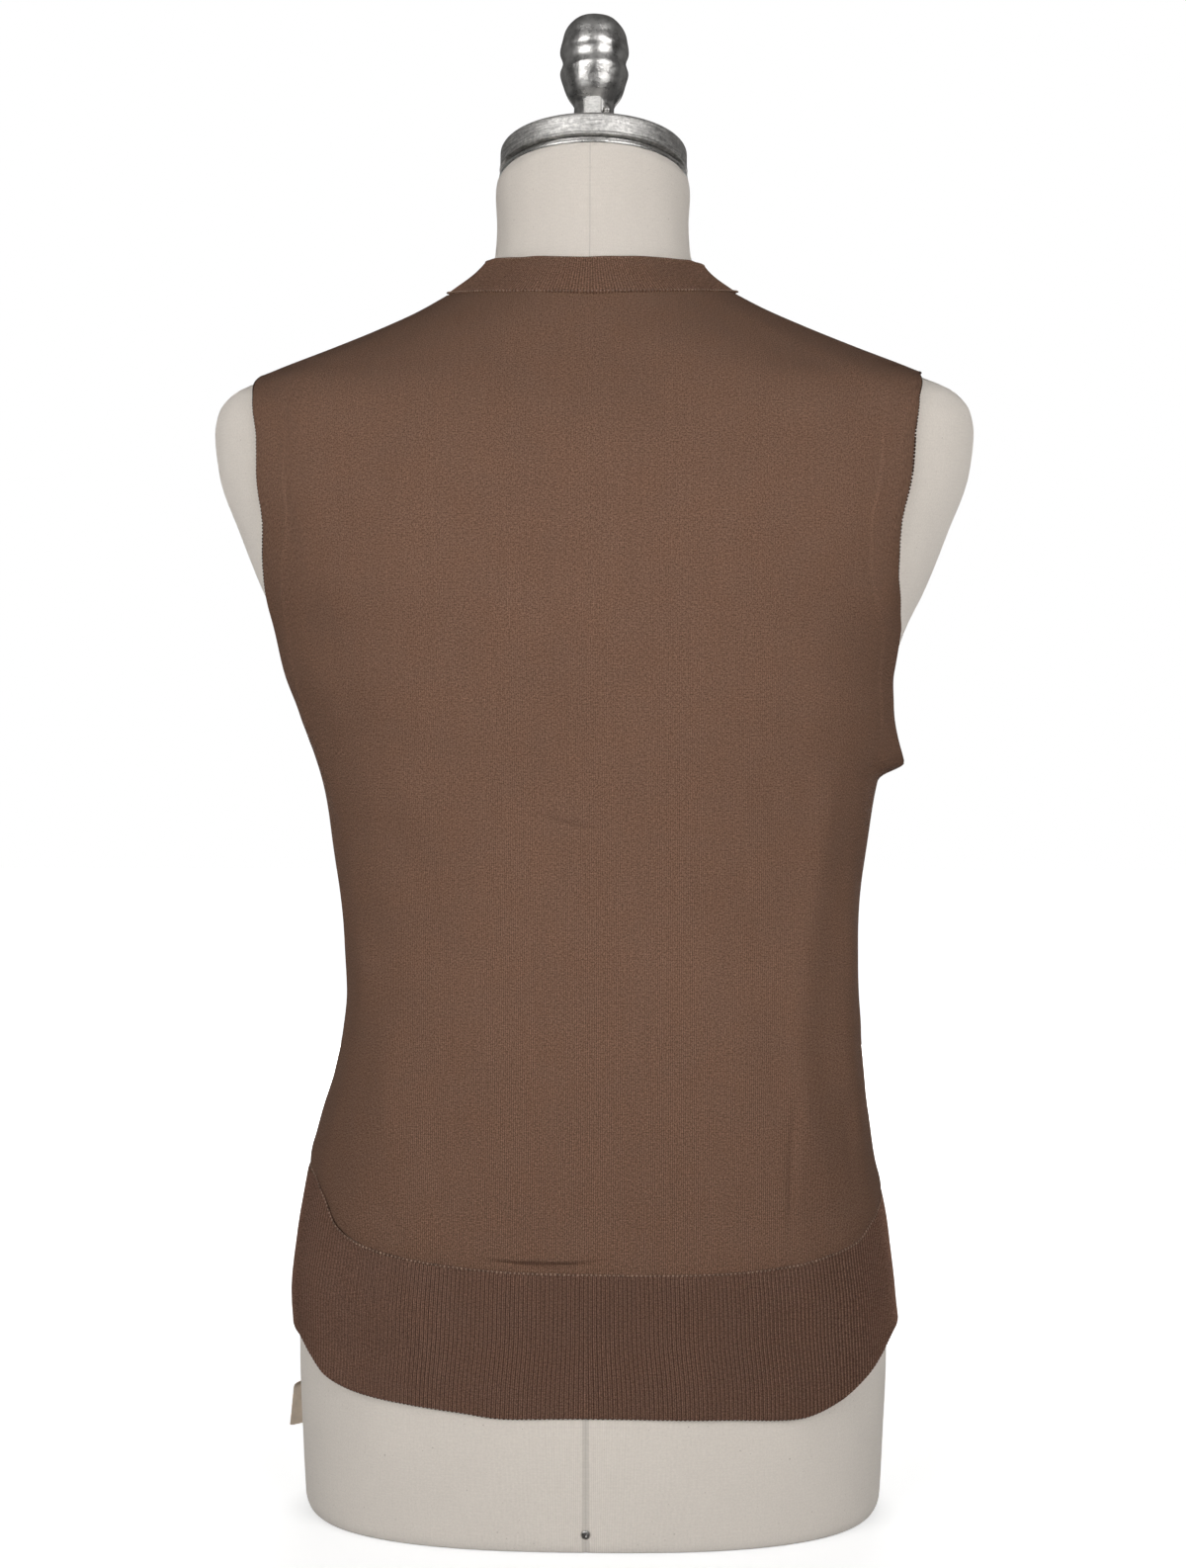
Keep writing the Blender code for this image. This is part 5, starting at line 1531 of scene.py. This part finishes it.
def yarn_look(name, colour, dark):
    """Twisted yarn of the stitches, lighter on its strands."""
    look = Look(name, Sheen_Weight=0.02, Sheen_Roughness=0.5, Specular_IOR_Level=0.15)
    place, _ = look.in_space()
    strands = look.noise(place, 2400.0, 2.0, 0.6)
    lots = look.noise(place, 190.0, 2.0, 0.6)
    shade = look.between(strands, 0.3, 0.7, dark, colour)
    shade = look.toned(shade, (lots, 0.3, 0.7, 0.55, 1.15))
    rough = look.ranged(strands, 0.2, 0.8, 0.7, 0.9)
    return look.done(shade, rough, look.bumped(strands, 0.00012))


def linen_look():
    """Plain-woven unbleached linen, with slubs and a few dark specks. It is darker in its seams,
    and painted shade makes it darker towards its foot."""
    look = Look(
        "linen_weave", Sheen_Weight=0.06, Sheen_Roughness=0.5, Specular_IOR_Level=0.25,
        Diffuse_Roughness=1.0,
    )
    place, (u, v, _) = look.laid_flat()
    slub = look.noise((u * 60.0, v * 1400.0))
    warp = look.noise((u * 1400.0, v * 60.0))
    across = look.math("SINE", u * (2 * math.pi / LINEN_THREAD))
    along = look.math("SINE", v * (2 * math.pi / LINEN_THREAD))
    weave = look.math("ABSOLUTE", across * along) + (slub + warp) * 0.5
    broad = look.noise(place, 12.0, 3.0, 0.6)
    specks = look.noise(place, 520.0, 1.0, 0.4)
    grain = look.noise(place, 780.0, 2.0, 0.6)
    shade = look.toned(
        look.between(weave, 0.5, 1.6, LINEN_DARK, LINEN_LIGHT),
        (broad, 0.3, 0.7, 0.975, 1.02), (grain, 0.33, 0.67, 0.955, 1.035),
        # Darker along the seams, and painted shade darker towards the foot.
        (u, 0.0003, 0.0009, 0.82, 1.0), (v, 0.02, 0.30, 0.88, 1.0),
    )
    shade = look.mixed(look.ranged(specks, 0.755, 0.80, 0.0, 0.45), shade, (0.22, 0.17, 0.12))
    rough = look.ranged(weave, 0.5, 1.6, 0.88, 0.76)
    return look.done(shade, rough, look.bumped(weave, 0.00016))


def cap_look():
    """Cast aluminium, turned and then scuffed, with handling marks."""
    look = Look("brushed_aluminium", Metallic=1.0, Specular_Tint=EDGE_TINT)
    place, (x, y, z) = look.in_space()
    lines = look.noise((x * 110.0, y * 110.0, z * 1500.0), 1.0, 3.0, 0.65)
    marks = look.noise(place, 420.0, 4.0, 0.75)
    pits = look.noise(place, 1100.0, 2.0, 0.6)
    shade = look.between(lines, 0.36, 0.64, (0.46, 0.445, 0.43), (0.86, 0.84, 0.81))
    shade = look.toned(shade, (marks, 0.33, 0.67, 1.24, 0.74))
    shade = look.mixed(look.ranged(pits, 0.66, 0.74, 0.0, 0.6), shade, (0.15, 0.14, 0.13))
    rough = look.ranged(lines, 0.3, 0.7, 0.38, 0.52) + look.ranged(marks, 0.3, 0.7, 0.0, 0.10)
    return look.done(shade, rough, look.bumped(lines + marks, 0.00026))


def filed_look(name, metallic, gloss):
    """Filed bare metal, paler than the casting. `gloss` is how much smoother it is."""
    look = Look(name, Metallic=metallic)
    place, (x, y, z) = look.in_space()
    files = look.noise((x * 260.0, y * 260.0, z * 2100.0), 1.0, 3.0, 0.65)
    dents = look.noise(place, 640.0, 3.0, 0.6)
    shade = look.between(files, 0.36, 0.64, (0.66, 0.645, 0.62), (0.93, 0.915, 0.88))
    shade = look.toned(shade, (dents, 0.33, 0.67, 1.06, 0.78))
    rough = look.ranged(files, 0.3, 0.7, 0.30 - gloss, 0.44 - gloss)
    rough = rough + look.ranged(dents, 0.3, 0.7, 0.0, 0.10)
    return look.done(shade, rough, look.bumped(files + dents, 0.00022))


def finial_look():
    """Rough-polished cast metal, with file marks and small hollows."""
    look = Look("polished_cast", Metallic=1.0, Specular_Tint=EDGE_TINT)
    place, (x, y, z) = look.in_space()
    hollows = look.noise(place, 210.0, 3.0, 0.55)
    marks = look.noise((x * 500.0, y * 500.0, z * 2400.0), 1.0, 3.0, 0.6)
    stains = look.noise(place, 120.0, 4.0, 0.7)
    shade = look.between(stains, 0.35, 0.65, (0.52, 0.505, 0.49), (0.78, 0.765, 0.74))
    rough = look.ranged(marks, 0.3, 0.7, 0.24, 0.33) + look.ranged(stains, 0.4, 0.7, 0.0, 0.10)
    normal = look.bumped(marks, 0.00010, 1.0, look.bumped(hollows, 0.0008, 0.40))
    return look.done(shade, rough, normal)


def horn_look():
    """Polished horn, streaked, with fine scuffs."""
    look = Look("horn", Coat_Weight=0.25, Coat_Roughness=0.12)
    place, (x, y, z) = look.in_space()
    streaks = look.noise((x * 90.0, y * 420.0, z), 1.0, 4.0, 0.6)
    scuffs = look.noise(place, 1500.0, 2.0, 0.6)
    shade = look.between(streaks, 0.35, 0.65, (0.030, 0.015, 0.009), (0.135, 0.070, 0.038))
    rough = look.ranged(scuffs, 0.3, 0.8, 0.22, 0.42)
    return look.done(shade, rough, look.bumped(scuffs, 0.00003))


def label_look():
    """The bare tab's weave: fine ribs across, slightly uneven in tone."""
    look = Look("label_weave", Sheen_Weight=0.08, Sheen_Roughness=0.4, Specular_IOR_Level=0.3)
    place, (u, v, _) = look.laid_flat()
    fine = look.math("SINE", v * (2 * math.pi / 0.00045))
    cross = look.math("SINE", u * (2 * math.pi / 0.00040))
    weave = look.ranged(fine + cross * 0.6, -1.6, 1.6, 0.0, 1.0)
    cloud = look.noise(place, 130.0, 3.0, 0.6)
    shade = look.mixed(weave, (0.51, 0.41, 0.32), (0.78, 0.655, 0.52))
    shade = look.toned(shade, (cloud, 0.3, 0.7, 0.90, 1.06))
    rough = look.ranged(cloud, 0.3, 0.7, 0.70, 0.86)
    return look.done(shade, rough, look.bumped(weave, 0.00010))


def floor_look():
    """A matt white floor, shown as bright as the white behind it except by the form's foot. The
    light that it throws on the form is dimmer."""
    look = Look("pale_floor", Specular_IOR_Level=0.1)
    place, (x, y, _) = look.in_space()
    cloud = look.noise(place, 3.0, 3.0, 0.6)
    grain = look.noise(place, 900.0, 2.0, 0.6)
    shade = look.between(cloud, 0.3, 0.7, (0.80, 0.80, 0.795), (0.82, 0.82, 0.815))
    look.done(shade, look.ranged(grain, 0.2, 0.8, 0.85, 0.95), look.bumped(grain, 0.00005))
    reach = look.math("SQRT", x * x + y * y)
    glow = look.ranged(reach, FLOOR_NEAR, FLOOR_FAR, FLOOR_GLOW, FLOOR_AWAY)
    lit = (look.shader.outputs[0], look.node("Emission", {"Strength": glow}))
    dull = look.node("BsdfDiffuse", {"Color": (0.14, 0.14, 0.14, 1.0)})
    seen = look.node("LightPath", output="Is Camera Ray")
    choice = look.node("MixShader", (seen, dull, look.node("AddShader", lit)))
    look.set(look.tree.nodes["Material Output"].inputs["Surface"], choice)
    return look.material


# ---------------------------------------------------------------- the studio
def make_floor():
    """The plain pale floor."""
    line = np.linspace(-FLOOR_HALF, FLOOR_HALF, FLOOR_STEPS + 1)
    x, y = np.meshgrid(line, line)
    points = np.stack([x, y, 0.0 * x + FLOOR_LEVEL], axis=-1)
    data = mesh_data("floor", points, grid_faces(*x.shape))
    data.materials.append(floor_look())
    new_object("floor", data)


def make_world():
    """Soft studio surroundings: bright before and behind the form, dimmer at its sides. The
    camera sees plain white instead."""
    world = bpy.data.worlds.new("studio")
    world.use_nodes = True
    world.node_tree.nodes.clear()
    nodes = Nodes(world.node_tree)
    _, along, _ = nodes.apart(nodes.node("TexCoord", output="Generated"))
    before = nodes.math("MAXIMUM", along, 0.0)
    behind = nodes.math("MAXIMUM", along * -1.0, 0.0)
    level = before * WORLD_BEFORE + WORLD_AROUND + behind * WORLD_BEHIND
    light = nodes.node("Background", {"Color": (1.0, 0.995, 0.985, 1.0), "Strength": level})
    white = nodes.node("Background", {"Color": (1.0, 1.0, 1.0, 1.0), "Strength": 1.0})
    seen = nodes.node("LightPath", output="Is Camera Ray")
    out = world.node_tree.nodes.new("ShaderNodeOutputWorld")
    nodes.set(out.inputs["Surface"], nodes.node("MixShader", (seen, light, white)))
    bpy.context.scene.world = world


def looking(spot, aim):
    """The matrix of a light or a camera at a spot, which looks along `aim`."""
    return Matrix.Translation(spot) @ aim.to_track_quat("-Z", "Y").to_matrix().to_4x4()


def softbox(name, spot, towards, size, power, in_gloss=False):
    """A large soft light that lights the matt surfaces, or one that only shows in gloss."""
    data = bpy.data.lights.new(name, "AREA")
    data.shape = "RECTANGLE"
    data.size, data.size_y = size
    data.energy = power
    light = new_object(name, data)
    light.matrix_world = looking(Vector(spot), Vector(towards) - Vector(spot))
    light.visible_camera = False
    light.visible_diffuse = not in_gloss
    light.visible_glossy = in_gloss


def make_lights():
    """Softboxes beside the camera and before the form's front for the matt surfaces, and those
    that the gloss alone shows: beside the camera, low in front, overhead and at both sides."""
    turn = math.radians(SOFTBOX_TURN)
    neck = (0.0, 0.0, NECK_TOP)
    for name, side in (("softbox_left", 1), ("softbox_right", -1)):
        place = (side * SOFTBOX_REACH * math.sin(turn), SOFTBOX_REACH * math.cos(turn))
        aim = (0.0, 0.0, SOFTBOX_HEIGHT - SOFTBOX_DROP)
        softbox(name, (*place, SOFTBOX_HEIGHT), aim, SOFTBOX_SIZE, SOFTBOX_POWER)
        softbox(name + "_gloss", (*place, GLOSS_HEIGHT), neck, GLOSS_SIZE, GLOSS_POWER, True)
    spot, aim = (0.0, -SOFTBOX_REACH, FILL_HEIGHT), (0.0, 0.0, FILL_HEIGHT)
    softbox("front_fill", spot, aim, FILL_SIZE, FILL_POWER)
    softbox("front_gloss", FRONT_GLOSS_SPOT, neck, FRONT_GLOSS_SIZE, FRONT_GLOSS_POWER, True)
    softbox("top_card", TOP_CARD_SPOT, TOP_CARD_AIM, TOP_CARD_SIZE, TOP_CARD_POWER, True)
    for name, side in (("left_card", 1), ("right_card", -1)):
        spot = (side * CARD_SPOT[0], *CARD_SPOT[1:])
        softbox(name, spot, CARD_AIM, CARD_SIZE, CARD_POWER, True)


def make_camera():
    """The camera at the photograph's place and angle, behind the wearer."""
    data = bpy.data.cameras.new("camera")
    data.lens = CAMERA_LENS
    data.sensor_width = 36.0
    spot = Vector((-math.sin(CAMERA_YAW), math.cos(CAMERA_YAW), 0.0)) * CAMERA_REACH
    spot.z = CAMERA_HEIGHT
    level = math.cos(CAMERA_DIP)
    aim = Vector(
        (math.sin(CAMERA_YAW) * level, -math.cos(CAMERA_YAW) * level, -math.sin(CAMERA_DIP))
    )
    camera = new_object("camera", data)
    camera.matrix_world = looking(spot, aim)
    bpy.context.scene.camera = camera


def main():
    """The dressed form and the studio."""
    # The jersey's last number is the painted shade low on its body.
    jersey = knit_look("jersey_knit", KNIT, WALE, 0.0, 0.00026, 0.62, 0.82)
    rib = knit_look("rib_knit", RIB_TONE, RIB_PITCH / 2, RIB_PITCH, 0.00018, 0.58)
    band = knit_look("band_knit", BAND_TONE, BAND_PITCH, 0.0, 0.00026, 0.66)
    link = yarn_look("link_yarn", *LINK_YARN)
    under = yarn_look("under_yarn", *UNDER_YARN)
    edge = yarn_look("edge_yarn", *EDGE_YARN)
    thread = yarn_look("button_thread", *BUTTON_YARN)
    linen, aluminium, polished = linen_look(), cap_look(), finial_look()
    rim = filed_look("bright_rim", 1.0, 0.10)
    filed = filed_look("filed_metal", 0.45, 0.0)

    make_camera()
    make_torso(linen)
    stand = make_neck_fittings(aluminium, rim, polished)
    make_clamp(stand, filed, polished)
    make_screw(polished)

    panels = [
        make_back(jersey),
        make_front("front_left", 1, jersey),
        make_front("front_right", -1, jersey),
    ]
    ribs = make_hem_ribs(rib)
    bands = [
        make_neckband(band),
        make_front_band("front_band_left", 1, band),
        make_front_band("front_band_right", -1, band),
    ]
    make_seams(link, under, edge)
    make_buttons(horn_look(), thread)
    label = make_label(label_look())
    for piece, cut in zip(panels + ribs + bands + [label], CUTS):
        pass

    make_floor()
    make_world()
    make_lights()
    bpy.context.scene.view_settings.view_transform = "Standard"


main()
